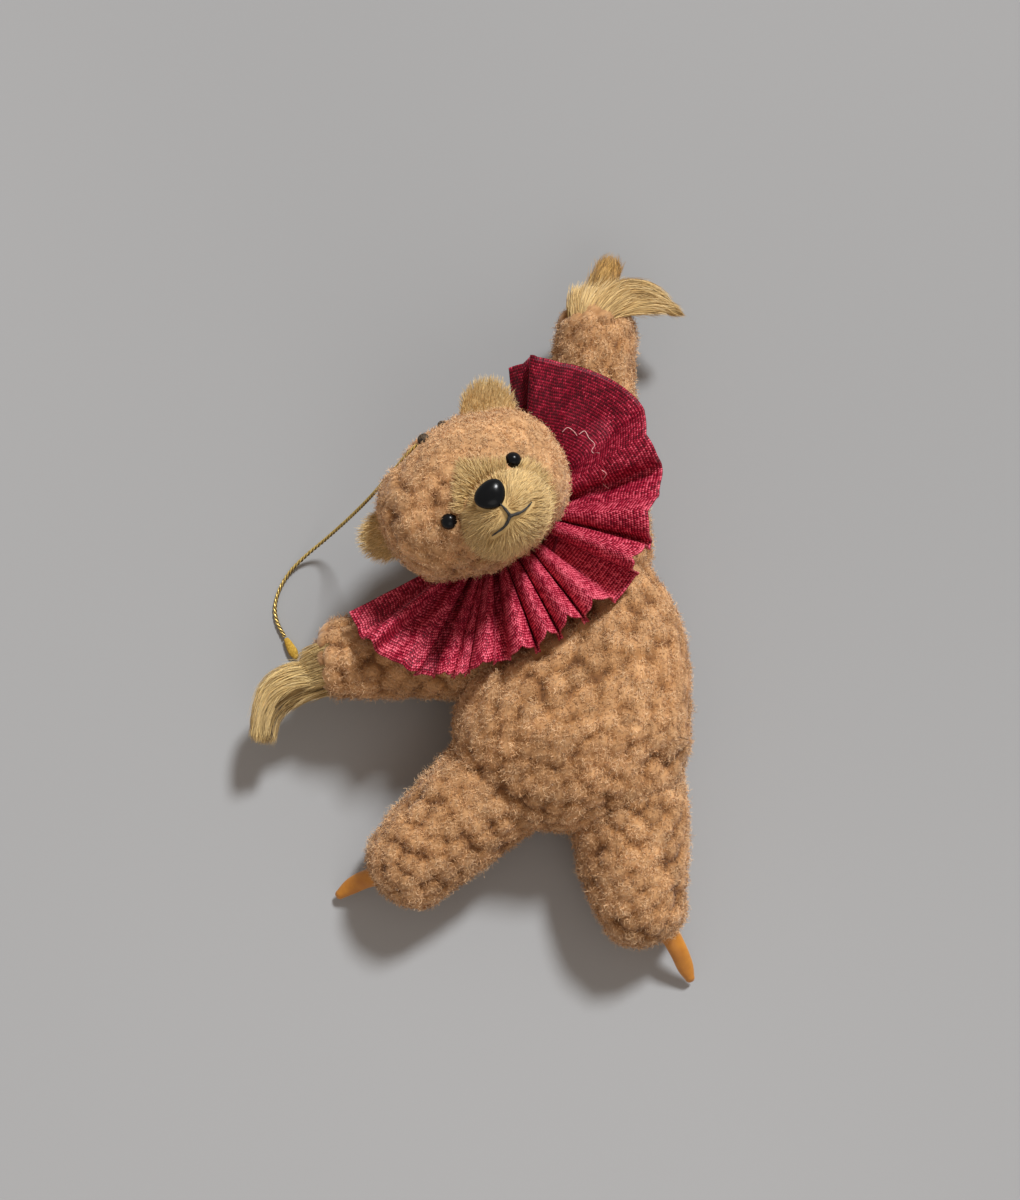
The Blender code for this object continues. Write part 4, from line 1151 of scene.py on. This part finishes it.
def furry(name, stations, caps, material, keep, mesh=(90, 110), length=FIBRE_LENGTH, calm=no_calm):
    """A stuffed form in curly plush: its skin in tufts, and the fibres on it."""
    rng = draws(name)
    skin = form_skin(stations, caps, 40, 56)
    fine = form_skin(stations, caps, *mesh)
    centres, size = tufted(skin, rng)
    index, distance = nearest(fine.verts, centres)
    dome = tuft_dome(distance, size[index], calm(fine.verts))
    verts = fine.verts + fine.normals * ((dome - 0.5) * TUFT_HEIGHT)[:, None]
    verts += rng.normal(0, 0.04, verts.shape)
    # The skin is painted darker in the gaps between tufts, as shade
    shade = np.stack((0.05 + 0.45 * dome, rng.random(len(verts)), tint_of(index)), -1)
    base = new_piece(name + "_plush", clear_of_floor(verts), fine.faces, name, "plush", material, shade)
    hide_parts(name + "_skin", name + "_stuffing")
    lines, stand, tint = curled(skin, centres, size, rng, keep, length, calm)
    fibres(name + "_fur", lines, stand, FUR_WIDTHS, tint, name, "plush", material, rng)


def outside_of(skins, least):
    """Keeps spots that don't lie deeper than least inside any of the skins, nor close to the ruff."""

    def keep(spots):
        kept = np.array([ruff_cloth.find_nearest(spot, RUFF_OFF_PLUSH + 0.5)[0] is None for spot in spots])
        for skin in skins:
            kept &= skin.depth(spots) < least
        return kept

    return keep


def off_wrist(limb):
    """Keeps a limb's spots that lie outside the torso and, on an arm, off the mohair of its wrist."""
    outside = outside_of([torso_skin], PLUSH_MEETS)
    if limb not in PLUSH_ENDS:
        return outside
    cuff = np.array(limb_forms[limb][-1][:3])
    heading = math.radians(LIMBS[limb][1])
    ahead = np.array((math.cos(heading), math.sin(heading), 0.0))

    def keep(spots):
        past = (spots - cuff) @ ahead > PLUSH_ENDS[limb]
        return outside(spots) & ~(past & (spots[:, 2] > cuff[2]))

    return keep


def torso_stations():
    return [(x, y, half - PRESSED, width, half) for x, y, width, half in TORSO]


def head_stations():
    stations = []
    for along, brow, depth in HEAD_STATIONS:
        e, u = spun(along, HEAD_BROW_RISE, HEAD_FORM_TURN_DEG)
        stations.append((*on_head((e, u, 0.0)), brow, depth))
    return stations


def ball_grid(middle, half, rings, around):
    """Bench points of an upright ellipsoid."""
    return np.asarray(middle) + unit_ball(rings, around) * np.asarray(half)


def neck_plush():
    """The neck's plush, round about its joint, which shows under the ruff from the side."""
    rng = draws("neck")
    skin = Skin(*closed_grid(ball_grid((*NECK[:2], NECK_FILL_Z), NECK_FILL_HALF, 30, 44)))
    # Its skin is painted darker than the fibres' tips, as shade under them
    new_piece("neck_plush", skin.verts, skin.faces, "torso", "plush", PLUSH, 0.3)
    keep = outside_of([torso_skin], PLUSH_MEETS)
    lines, stand, tint = curled(skin, *tufted(skin, rng), rng, keep, FIBRE_LENGTH, no_calm)
    fibres("neck_fur", lines, stand, FUR_WIDTHS, tint, "torso", "plush", PLUSH, rng)


def turned(stations, pivot, swing_deg):
    """Stations turned on the bench about a pivot."""
    swing = math.radians(swing_deg)
    rows = np.array(stations)
    x, y = rows[:, 0] - pivot[0], rows[:, 1] - pivot[1]
    rows[:, 0] = pivot[0] + x * math.cos(swing) - y * math.sin(swing)
    rows[:, 1] = pivot[1] + x * math.sin(swing) + y * math.cos(swing)
    return rows


# Mohair: muzzle, ears and paws


def on_patch(e, u, grow):
    """Whether spots of the face lie in its cream mohair, grown by so many millimetres."""
    rise = (WEDGE_TOP_U + grow - u) / (WEDGE_TOP_U - WEDGE_FOOT_U)
    wedge = (u > WEDGE_FOOT_U) & (np.abs(e - WEDGE_E) < (WEDGE_HALF + grow) * np.clip(rise, 0, 1) ** 0.8)
    return (oval(e, u, PATCH_MIDDLE, PATCH_HALF, grow) < 1.0) | wedge


def clear_of_features(lines):
    """Whether each line of face points stays off the nose, the eyes and the mouth."""
    e, u, f = lines[..., 0], lines[..., 1], lines[..., 2]
    hit = np.hypot(e / (NOSE_HALF[0] + 0.1), (u - NOSE_U) / (NOSE_HALF[1] + 0.1)) < 1.0
    hit &= f > muzzle_surface(0.0, NOSE_U) - NOSE_HALF[2]
    hit |= near_eyes(e, u, EYE_RADIUS - 0.2)
    for way in MOUTH_WAYS.values():
        for step_e, step_u in curve(way, 24):
            hit |= np.hypot(e - step_e, u - step_u) < MOUTH_RADIUS + 0.05
    return ~hit.any(1)


def laid_back(roots, normals_of, lengths, rng):
    """Lines that rise from face points and lie back, away from the mouth."""
    mouth = np.array((*MOUTH_FORK, 0.0)) + (0.0, 1.6, 0.0)
    lines = np.empty((len(roots), FACE_POINTS, 3))
    lines[:, 0] = roots
    stray = rng.standard_normal((len(roots), 3)) * 0.16
    for k in range(1, FACE_POINTS):
        here = lines[:, k - 1]
        normal = normals_of(here)
        away = here - mouth
        away[:, 2] = 0.0
        away = unit(along_surface(unit(away) - (0.0, 0.0, 0.5), normal))
        way = unit(away + normal * (0.5 - 0.62 * k / FACE_POINTS) + stray)
        lines[:, k] = here + way * (lengths / (FACE_POINTS - 1))[:, None]
    return lines


def face_mohair():
    """Straight cream fibres that lie back from the nose and the mouth."""
    rng = draws("face")
    verts, faces = closed_grid(ellipsoid_grid(MUZZLE_MIDDLE, MUZZLE_HALF * MUZZLE_SKIN, 40, 56))
    # Its skin is painted darker than the fibres' tips, as shade under them
    base = new_piece("muzzle_skin", verts, faces, "head", "mohair", CREAM, 0.6)
    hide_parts("muzzle")

    spots = unit(rng.standard_normal((MUZZLE_FIBRES * 2, 3)))
    roots = spots * MUZZLE_HALF * MUZZLE_ROOTS + MUZZLE_MIDDLE
    shown = (spots[:, 2] > -0.8) & (roots[:, 2] > head_surface(roots[:, 0], roots[:, 1]) - 1.0)
    spots, roots = spots[shown][:MUZZLE_FIBRES], roots[shown][:MUZZLE_FIBRES]
    lengths = rng.uniform(1.9, 3.0, len(spots)) + 1.2 * (1 - np.maximum(spots[:, 2], 0.0))
    on_muzzle = laid_back(roots, lambda p: unit((p - MUZZLE_MIDDLE) / MUZZLE_HALF**2), lengths, rng)

    axes = head_axes()
    e = rng.uniform(-11.0, 13.0, CHEEK_FIBRES * 6)
    u = rng.uniform(-15.0, 6.0, CHEEK_FIBRES * 6)
    kept = on_patch(e, u, -0.9) & (head_surface(e, u) > 2.0) & (oval(e, u, MUZZLE_MIDDLE, MUZZLE_HALF) > 0.8)
    e, u = e[kept][:CHEEK_FIBRES], u[kept][:CHEEK_FIBRES]
    roots = np.stack((e, u, head_surface(e, u) + 0.25), -1)
    lengths = rng.uniform(1.8, 3.2, len(e))
    on_cheeks = laid_back(roots, lambda p: out_of_head(p[:, 0], p[:, 1]) @ axes.T, lengths, rng)

    lines = np.concatenate((on_muzzle, on_cheeks))
    lines = lines[clear_of_features(lines)]
    outward = unit(axes[2] + 0.6 * unit(lines[:, -1] - lines[:, 0]) @ axes)
    # Painted shade: darker towards the roots
    along = 0.3 + 0.7 * np.linspace(0, 1, FACE_POINTS)[None]
    shade = tinted(along, rng.random(len(lines)), rng.random(len(lines)))
    fibres("muzzle_fur", on_head(lines), outward, FACE_WIDTHS, shade, "head", "mohair", CREAM, rng)


def make_mouth():
    """Three black threads that meet below the nose, pulled into the mohair."""
    for name, way in MOUTH_WAYS.items():
        e, u = curve(way, MOUTH_STEPS).T
        route = on_head(np.stack((e, u, muzzle_surface(e, u) + 0.2), -1))
        radii = MOUTH_RADIUS * (1.25 - 0.85 * np.linspace(0, 1, MOUTH_STEPS))
        verts, faces, _ = tube(route, radii, 12, 2, 0.25, 4.0)
        thread = new_piece(name + "_thread", verts, faces, "head", "black_thread", BLACK_THREAD)
        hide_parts(name)


def ear_fur():
    """Ears in short mohair that is combed outwards."""
    for name, (angle_deg, past, size) in EARS.items():
        rng = draws(name)
        out = np.array((math.cos(math.radians(angle_deg)), math.sin(math.radians(angle_deg)), 0.0))
        reach = 1.0 / math.hypot(out[0] / HEAD_HALVES[0], out[1] / HEAD_HALVES[1]) + past
        middle = reach * out + (0.0, HEAD_BROW_RISE, EAR_F)
        grid = ellipsoid_grid(middle, np.array(EAR_HALF) * size, 24, 36, angle_deg - 90.0)
        skin = Skin(*closed_grid(grid))
        # Its skin is painted darker than the fibres' tips, as shade under them
        base = new_piece(name + "_skin", skin.verts, skin.faces, "head", "mohair", CREAM, 0.4)
        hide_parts(name)
        spots, normals = skin.sample(EAR_FIBRES, rng)
        out = out @ head_axes()
        t = np.linspace(0, 1, FIBRE_POINTS)[None, :, None]
        lean = unit(out * 1.1 + normals * 0.6 + rng.standard_normal((EAR_FIBRES, 3)) * 0.2)
        edge = np.clip(np.einsum("ij,j->i", normals, out), 0, 1)
        length = (rng.uniform(0.9, 1.8, EAR_FIBRES) + edge)[:, None, None]
        bend = unit(rng.standard_normal((EAR_FIBRES, 3)))[:, None] * 0.3
        lines = (spots - normals * 0.1)[:, None] + lean[:, None] * length * t + bend * t**2
        # Painted shade: darker towards the roots
        shade = tinted(0.55 + 0.45 * t[..., 0], rng.random(EAR_FIBRES), rng.random(EAR_FIBRES))
        fibres(name + "_fur", lines, normals, FUR_WIDTHS, shade, "head", "mohair", CREAM, rng)


def combed_paw(name, material, count, length, flare, tip, stop):
    """A tuft of long straight mohair, combed from the cuff to its tip.

    length is a fibre's share of the paw, flare how far loose ones lift, tip how wide the last station is
    against the frame's, and stop how far along the paw they end.
    """
    rng = draws(name)
    limb, form = PAWS[name]
    stations = np.array(end_stations(limb, form))
    stations[-1, 3:] *= tip
    verts, faces = closed_grid(form_grid(stations, PAW_CAPS, 48, 40, -0.75))
    # The core under the locks is painted dark, as shade among them
    base = new_piece(name + "_core", verts, faces, limb, "mohair", material, 0.2)
    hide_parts(name)
    locks = rng.uniform(0, 2 * math.pi, PAW_LOCKS)
    lock = rng.integers(0, PAW_LOCKS, count)
    first = rng.uniform(-0.04, 0.8, count)
    last = np.minimum(first + length * rng.uniform(0.6, 1.2, count), 1.0)
    t = np.linspace(0, 1, PAW_POINTS)[None, :]
    v = 0.08 + (stop - 0.08) * np.clip(first[:, None] + (last - first)[:, None] * t, 0, 1)
    turn = locks[lock][:, None] + rng.normal(0, 0.15, (count, 1)) * (1 - 0.5 * t)
    turn = turn + rng.normal(0, 0.1, (count, 1)) * t + 0.25 * np.sin(5 * v + lock[:, None])
    lift = rng.uniform(-0.7, 0.35, count)[:, None] + (0.3 * np.sin(lock * 2.4))[:, None]
    lift = lift + flare * rng.uniform(0, 1, count)[:, None] ** 3 * t**2
    lines = on_form(stations, PAW_CAPS, v, turn, lift)
    tail = unit(lines[:, -2] - lines[:, -4])
    lines[:, -1] = lines[:, -2] + tail * rng.uniform(0.2, 1.6, (count, 1))
    centre = on_form(stations, PAW_CAPS, v, turn, -1.2)
    outward = unit(lines - centre)[:, PAW_POINTS // 2]
    shade = paw_shade(t, lock, rng)
    shade[..., 0] *= 1.0 - PAW_TIP_SHADE * np.clip((v - 0.7) / 0.25, 0.0, 1.0)
    fibres(name + "_fur", lines, outward, PAW_WIDTHS, shade, limb, "mohair", material, rng)


def paw_shade(t, lock, rng):
    """Root to tip, darker towards the root as painted shade, then by fibre and by lock; some locks are
    darker.
    """
    dark = np.where((lock * 7) % 5 < 2, -0.32, 0.1)[:, None]
    along = np.clip(0.45 + 0.45 * t + dark + rng.normal(0, 0.1, (len(lock), 1)), 0, 1)
    return tinted(along, rng.random(len(lock)), tint_of(lock))


def wrist_fan(limb, material, count, aside, turns, reach):
    """Locks rooted on the front of a cuff that fan out over its paw.

    From the first lock to the last, aside gives the offset to the heading's right, turns the angle to the
    heading at the root and at the tip, and reach the length.
    """
    rng = draws(limb + "_wrist")
    x, y, z, half_width, half_height = limb_forms[limb][-1]
    heading = math.radians(LIMBS[limb][1])
    cos, sin = math.cos(heading), math.sin(heading)
    share = rng.random(count)
    offset = aside[0] + (aside[1] - aside[0]) * share + rng.normal(0, 0.3, count)
    ahead = PLUSH_ENDS[limb] + rng.uniform(*WRIST_ROOTS, count)
    swell = np.sqrt(np.maximum(1 - (offset / half_width) ** 2 - (ahead / CUFF_ROUNDING) ** 2, 0.0))
    (root_first, tip_first), (root_last, tip_last) = np.radians(turns)
    at_root = heading + root_first + (root_last - root_first) * share + rng.normal(0, 0.12, count)
    at_tip = heading + tip_first + (tip_last - tip_first) * share + rng.normal(0, 0.12, count)
    length = (reach[0] + (reach[1] - reach[0]) * share) * rng.uniform(0.55, 1.05, count)
    t = np.linspace(0, 1, PAW_POINTS)[None, :]
    angle = at_root[:, None] + (at_tip - at_root)[:, None] * t
    step = (length / (PAW_POINTS - 1))[:, None]
    lines = np.empty((count, PAW_POINTS, 3))
    start = (x + cos * ahead + sin * offset, y + sin * ahead - cos * offset)
    for axis, part in enumerate((np.cos(angle), np.sin(angle))):
        lines[..., axis] = start[axis][:, None] + (np.cumsum(part, axis=1) - part[:, :1]) * step
    root_z = (z + half_height * swell)[:, None]
    tip_z = WRIST_LEVEL + rng.uniform(-1.8, 0.5, count)[:, None]
    lines[..., 2] = root_z * (1 - t) + tip_z * t + 0.7 * np.sin(math.pi * t) * rng.random((count, 1))
    lock = (share * 16 + rng.normal(0, 0.35, count)).astype(int) + 2
    shade = paw_shade(t, lock, rng)
    up = np.tile(UP, (count, 1))
    fibres(limb + "_wrist", lines, up, PAW_WIDTHS, shade, limb, "mohair", material, rng)


# Face


def make_face():
    for name, side in (("eye_right", -1), ("eye_left", 1)):
        e, u = side * EYE_SPREAD, -EYE_DROP
        surface = on_head((e, u, head_surface(e, u)))
        centre = surface + out_of_head(e, u) * (EYE_STANDS - EYE_RADIUS * 0.5)
        grid = ball_grid(centre, EYE_RADIUS, 32, 40)
        bead = new_piece(name + "_bead", *closed_grid(grid), "head", "gloss_black", GLOSS_BLACK)
        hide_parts(name)
    middle = (0.0, NOSE_U, muzzle_surface(0.0, NOSE_U) + NOSE_HALF[2] * (1.0 - NOSE_SINKS))
    grid = ellipsoid_grid(middle, NOSE_HALF, 40, 56, taper=NOSE_TAPER)
    nose = new_piece("nose_button", *closed_grid(grid), "head", "gloss_black", GLOSS_BLACK)
    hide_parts("nose")


def make_knots():
    """Tight knots of dark thread: a ball whose turns cross each other."""
    t = np.linspace(0, 1, KNOT_STEPS)
    swing = 2 * math.pi * KNOT_TURNS * t
    tilt = math.pi * 1.7 * t
    out, over = np.cos(swing), 0.25 * np.sin(3 * swing)
    path = np.stack(
        (out * np.cos(tilt) - over * np.sin(tilt), np.sin(swing), out * np.sin(tilt)),
        -1,
    )
    for name, (e, u, radius) in KNOTS.items():
        centre = on_head((e, u, head_surface(e, u))) + out_of_head(e, u) * radius * 0.5
        route = centre + unit(path) * radius * KNOT_WINDS
        verts, faces, _ = tube(route, np.full(KNOT_STEPS, radius * KNOT_THREAD), 10)
        knot = new_piece(name + "_turns", verts, faces, "head", "brown_knot", BROWN_KNOT)
        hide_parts(name)


# Slippers


def make_slippers():
    """Pointed leather slippers: a curved tongue that narrows to its tip, its sole side hollow."""
    rings, around = 64, 56
    v = np.linspace(0, 1, rings + 1)[:, None]
    turn = spokes(around)
    hollow = np.clip(-np.sin(turn), 0, 1) * np.sin(math.pi * v) ** 0.5 * SLIPPER_HOLLOW
    # edge marks a band along each side of the tongue, raised a little and painted paler as a highlight
    edge = np.exp(-(((np.sin(turn) + 0.12) / 0.3) ** 2)) * np.ones_like(v)
    edge = np.concatenate(([0.0], edge[1:-1].ravel(), [0.0]))[:, None]
    for name, (limb, form) in FEET.items():
        stations = np.array(end_stations(limb, form))
        stations[:, 3] *= SLIPPER_TAPER
        stations[:, 2] -= SLIPPER_DROP
        grid = form_grid(stations, FOOT_CAPS, rings, around)
        grid[..., 2] += hollow
        verts, faces = closed_grid(grid)
        verts = verts + Skin(verts, faces).normals * (0.1 * edge)
        slipper = new_piece(name + "_slipper", verts, faces, limb, "slipper_leather", LEATHER, edge * 0.7)
        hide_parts(name)


# Ruff


def rim_at(angles_deg):
    """Radius and height of the ruff's rim at each angle, which fall from the first to the last."""
    rows = np.array(RUFF_RIM)
    t = np.interp(-np.asarray(angles_deg), -rows[:, 0], np.arange(len(rows)))
    found = through(RUFF_RIM, t)
    return found[..., 1], found[..., 2]


def half_pleat(first_round, last_round, steepest):
    """The cloth between two turns: its share of the way across and of the rise, step by step."""
    count = RIBBON_STEPS * PLEAT_FINE
    s = (np.arange(count) + 0.5) / count
    slope = steepest * np.minimum(1.0, np.minimum(s / first_round, (1 - s) / last_round))
    across = np.concatenate(([0.0], np.cumsum(np.cos(slope))))[::PLEAT_FINE]
    rise = np.concatenate(([0.0], np.cumsum(np.sin(slope))))[::PLEAT_FINE]
    return across / across[-1], rise / rise[-1]


def ruff_columns():
    """Rim angle, neck angle, height and reach of every column of the ruff's cloth."""
    turns = np.array(RUFF_TURNS)
    least, gain, most = PLEAT_SLOPES
    made = []
    for here, there in zip(turns[:-1], turns[1:]):
        room = abs(math.radians(there[0] - here[0])) * float(rim_at((here[0] + there[0]) / 2)[0])
        steepness = min(most, least + gain * abs(there[2] - here[2]) / room)
        across, rise = half_pleat(here[3], there[3], math.radians(steepness))
        rows = here + (there - here) * across[:, None]
        rows[:, 2] = here[2] + (there[2] - here[2]) * rise
        rows[:, 4] += RUFF_FLANK * np.sin(math.pi * across) * np.clip((steepness - 60.0) / 40.0, 0.0, 1.0)
        made.extend(rows[:-1])
    return np.array([*made, turns[-1]])


def make_ruff():
    """The ribbon drawn up at the neck, its pleats opening into tubes at the rim."""
    columns = ruff_columns()
    rim_turn, neck_turn = np.radians(columns[:, 0]), np.radians(columns[:, 1])
    rim_radius, rim_height = rim_at(columns[:, 0])
    rim_radius = rim_radius + columns[:, 4]
    inner_height = RUFF_INNER_HEIGHT + RUFF_INNER_RISE * np.cos(neck_turn - math.radians(RUFF_RISE_DEG))
    inner_height = inner_height + RUFF_HEM_RISE
    neck = np.stack((np.cos(neck_turn), np.sin(neck_turn)), -1) * (RUFF_INNER_RADIUS - RUFF_HEM)
    rim = np.stack((np.cos(rim_turn), np.sin(rim_turn)), -1) * rim_radius[:, None]
    out = np.linspace(0, 1, RIBBON_ROWS + 1)
    cloth = np.empty((len(columns), len(out), 3))
    cloth[..., :2] = np.array(NECK[:2]) + neck[:, None] + (rim - neck)[:, None] * out[None, :, None]
    rise = (rim_height - inner_height)[:, None] * out[None, :] ** RUFF_SWEEP
    cloth[..., 2] = inner_height[:, None] + rise
    outward = unit(np.gradient(cloth, axis=1))
    sideways = np.stack((-np.sin(rim_turn), np.cos(rim_turn), 0 * rim_turn), -1)[:, None]
    upward = unit(np.cross(outward, np.broadcast_to(sideways, outward.shape)))
    opening = np.minimum(1.0, PLEAT_AT_NECK + (1.08 - PLEAT_AT_NECK) * out)
    lift = columns[:, 2][:, None] * opening[None]
    for i, j in np.ndindex(lift.shape):
        place = Vector(cloth[i, j])
        lift[i, j] += sum(height * perlin.noise(place * scale) for height, scale in RUFF_WAVES)
    cloth = cloth + upward * lift[..., None]
    lay_clear(cloth.reshape(-1, 3))
    return lay_ruff(cloth, columns[:, 0])


def lay_clear(spots):
    """Moves the ruff's spots down off the head and up off the body, wherever head and arms may swing."""
    rests = [(skin, RUFF_OFF_PLUSH) for skin in (torso_skin, *limb_skins.values())]
    for name, swings in ARM_SWINGS.items():
        for swing in swings:
            rows = turned(limb_forms[name], LIMBS[name][0], swing)
            rests.append((form_skin(rows, limb_caps(rows)), RUFF_OFF_SWUNG))
    heads = [form_skin(turned(head_stations(), NECK, swing), HEAD_CAPS) for swing in HEAD_SWINGS]
    for _ in range(LAYING_ROUNDS):
        pressed = np.max([skin.depth(spots) for skin in heads], axis=0) + RUFF_OFF_HEAD
        spots[:, 2] -= np.clip(pressed, 0.0, LAYING_DOWN)
        deepest = np.max([skin.depth(spots) + off for skin, off in rests], axis=0)
        spots[:, 2] += np.clip(deepest, 0.0, LAYING_UP)


def lay_ruff(cloth, rim_angles):
    """The ribbon as a thin solid sheet with its own weave coordinates, in millimetres."""
    columns, rows = cloth.shape[:2]
    verts = cloth.reshape(-1, 3)
    base = (np.arange(columns - 1) * rows)[:, None] + np.arange(rows - 1)[None, :]
    quads = np.stack((base, base + 1, base + rows + 1, base + rows), -1).reshape(-1, 4)
    travel = travelled(cloth[:, -1])
    row_steps = np.linalg.norm(np.diff(cloth, axis=1), axis=2)
    from_rim = np.zeros((columns, rows))
    from_rim[:, :-1] = np.cumsum(row_steps[:, ::-1], axis=1)[:, ::-1]
    # The cloth's shade attribute carries painted light and shade by rim angle
    angles, painted_levels = zip(*reversed(RUFF_PAINTED_LIGHT))
    painted_light = np.repeat(np.interp(rim_angles, angles, painted_levels), rows)
    ruff = new_piece("ruff_ribbon", verts, quads, "torso", "ribbon", RIBBON, painted_light[:, None])
    layer = ruff.data.uv_layers.new(name="ribbon_mm")
    corner = np.empty(len(ruff.data.loops), int)
    ruff.data.loops.foreach_get("vertex_index", corner)
    uv = np.stack((travel[corner // rows], from_rim.ravel()[corner]), -1).astype(np.float32)
    layer.data.foreach_set("uv", uv.ravel())
    thick = ruff.modifiers.new("Ribbon thickness", "SOLIDIFY")
    thick.thickness = RIBBON_THICKNESS * MM
    thick.offset = 0.0
    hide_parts("ruff")
    laid = BVHTree.FromPolygons([tuple(v) for v in verts], quads.tolist())
    loose_threads(laid)
    return laid


def loose_threads(cloth):
    """Pulled threads of the weave, lying on the ribbon."""
    made = []
    for number, route in enumerate(LOOSE_THREADS):
        laid = []
        for x, y in curve(route, LOOSE_THREAD_STEPS):
            found = cloth.ray_cast(Vector((x, y, 80.0)), -Vector(UP))[0]
            over = found[2] + LOOSE_THREAD_RADIUS + RIBBON_THICKNESS / 2 if found else laid[-1][2]
            laid.append((x, y, over))
        verts, faces, _ = tube(np.array(laid), np.full(len(laid), LOOSE_THREAD_RADIUS), 8)
        name = f"loose_thread_{number + 1}"
        made.append(new_piece(name, verts, faces, "torso", "ribbon_thread", PALE_THREAD))
    return made


# Stage


def make_stage():
    mesh = bpy.data.meshes.new("floor")
    corners = [(x * FLOOR_HALF, y * FLOOR_HALF, 0.0) for x, y in ((-1, -1), (1, -1), (1, 1), (-1, 1))]
    mesh.from_pydata(corners, [], [(0, 1, 2, 3)])
    mesh.materials.append(floor_material())
    placed("floor", mesh)
    world = bpy.data.worlds.new("studio")
    world.use_nodes = True
    tree = world.node_tree
    ambient = feed(tree.nodes["Background"], Color=(*AMBIENT_COLOUR, 1.0), Strength=AMBIENT_STRENGTH)
    backdrop = feed(node(tree, "ShaderNodeBackground"), Color=(*BACKDROP_COLOUR, 1.0), Strength=1.0)
    rays = node(tree, "ShaderNodeLightPath").outputs
    seen = maths(tree, "MAXIMUM", rays["Is Camera Ray"], rays["Is Glossy Ray"])
    seen = maths(tree, "MAXIMUM", seen, rays["Is Transmission Ray"])
    choice = node(tree, "ShaderNodeMixShader")
    for socket, source in zip(choice.inputs, (seen, ambient.outputs[0], backdrop.outputs[0])):
        plug(socket, source)
    feed(tree.nodes["World Output"], Surface=choice.outputs[0])
    bpy.context.scene.world = world
    for name, (way, strength, angle_deg, colour) in LAMPS.items():
        data = bpy.data.lights.new(name, "SUN")
        data.energy = strength
        data.angle = math.radians(angle_deg)
        data.color = colour
        lamp = placed(name, data)
        lamp.location = way
        lamp.rotation_euler = (-Vector(way)).to_track_quat("-Z", "Y").to_euler()
    bpy.context.scene.view_settings.view_transform = "Standard"


# The whole bear


def brow_calm(spots):
    """The pile lies closer over the brow and the left cheek than over the right one."""
    e, u, f = in_head(spots)
    return np.clip((u * 0.6 + e * 0.8 + 1.0) / 9.0, 0.0, 1.0) * (f > -4.0)


def head_keeps(spots):
    """Plush spots of the head that lie off the muzzle, the cream mohair, the eyes and the cord."""
    e, u, f = in_head(spots)
    taken = (on_patch(e, u, -0.6) | near_eyes(e, u, EYE_RADIUS - 0.4)) & (f > 0)
    cord = through(CORD_ROUTE, np.linspace(0, 5, 60))
    taken |= nearest(spots, cord)[1] < CORD_PARTING
    return ~taken & (muzzle.depth(spots) < 0.2)


make_camera()
make_cord()

torso_skin = form_skin(torso_stations(), TORSO_CAPS)
limb_forms = {name: limb_stations(name) for name in LIMBS}
limb_skins = {name: form_skin(rows, limb_caps(rows)) for name, rows in limb_forms.items()}
muzzle = Skin(*closed_grid(ellipsoid_grid(MUZZLE_MIDDLE, MUZZLE_HALF, 24, 32)))
ruff_cloth = make_ruff()

off_limbs = outside_of(limb_skins.values(), PLUSH_MEETS)
furry("torso", torso_stations(), TORSO_CAPS, PLUSH, off_limbs, (130, 170))
neck_plush()
for name, rows in limb_forms.items():
    furry(name, rows, limb_caps(rows), PLUSH, off_wrist(name))
furry("head", head_stations(), HEAD_CAPS, HEAD_PLUSH, head_keeps, length=HEAD_FIBRE_LENGTH, calm=brow_calm)
face_mohair()
ear_fur()
combed_paw("paw_right", PAW_MOHAIR, 6400, 0.3, 1.1, 1.15, 0.88)
combed_paw("paw_left", PAW_LIGHT, 3600, 0.4, 1.3, 0.6, 0.98)
combed_paw("paw_left_thumb", THUMB_MOHAIR, 3600, 0.3, 1.5, 0.8, 0.94)
wrist_fan("arm_right", PAW_MOHAIR, 2600, (-5.5, 2.6), ((4.0, 22.0), (10.0, 40.0)), (6.0, 5.0))
wrist_fan("arm_left", PAW_LIGHT, 5200, (-5.2, 4.6), ((6.0, -16.0), (-56.0, -98.0)), (6.0, 12.0))
make_face()
make_mouth()
make_knots()
make_slippers()

shown = {name + "_wire": STEEL for name in ("shoulder", "hip", "spine", "head", *LIMBS)}
shown["ruff_gathering_thread"] = RIBBON_THREAD
for name, material in shown.items():
    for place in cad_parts[name].material_slots:
        place.material = material

make_stage()
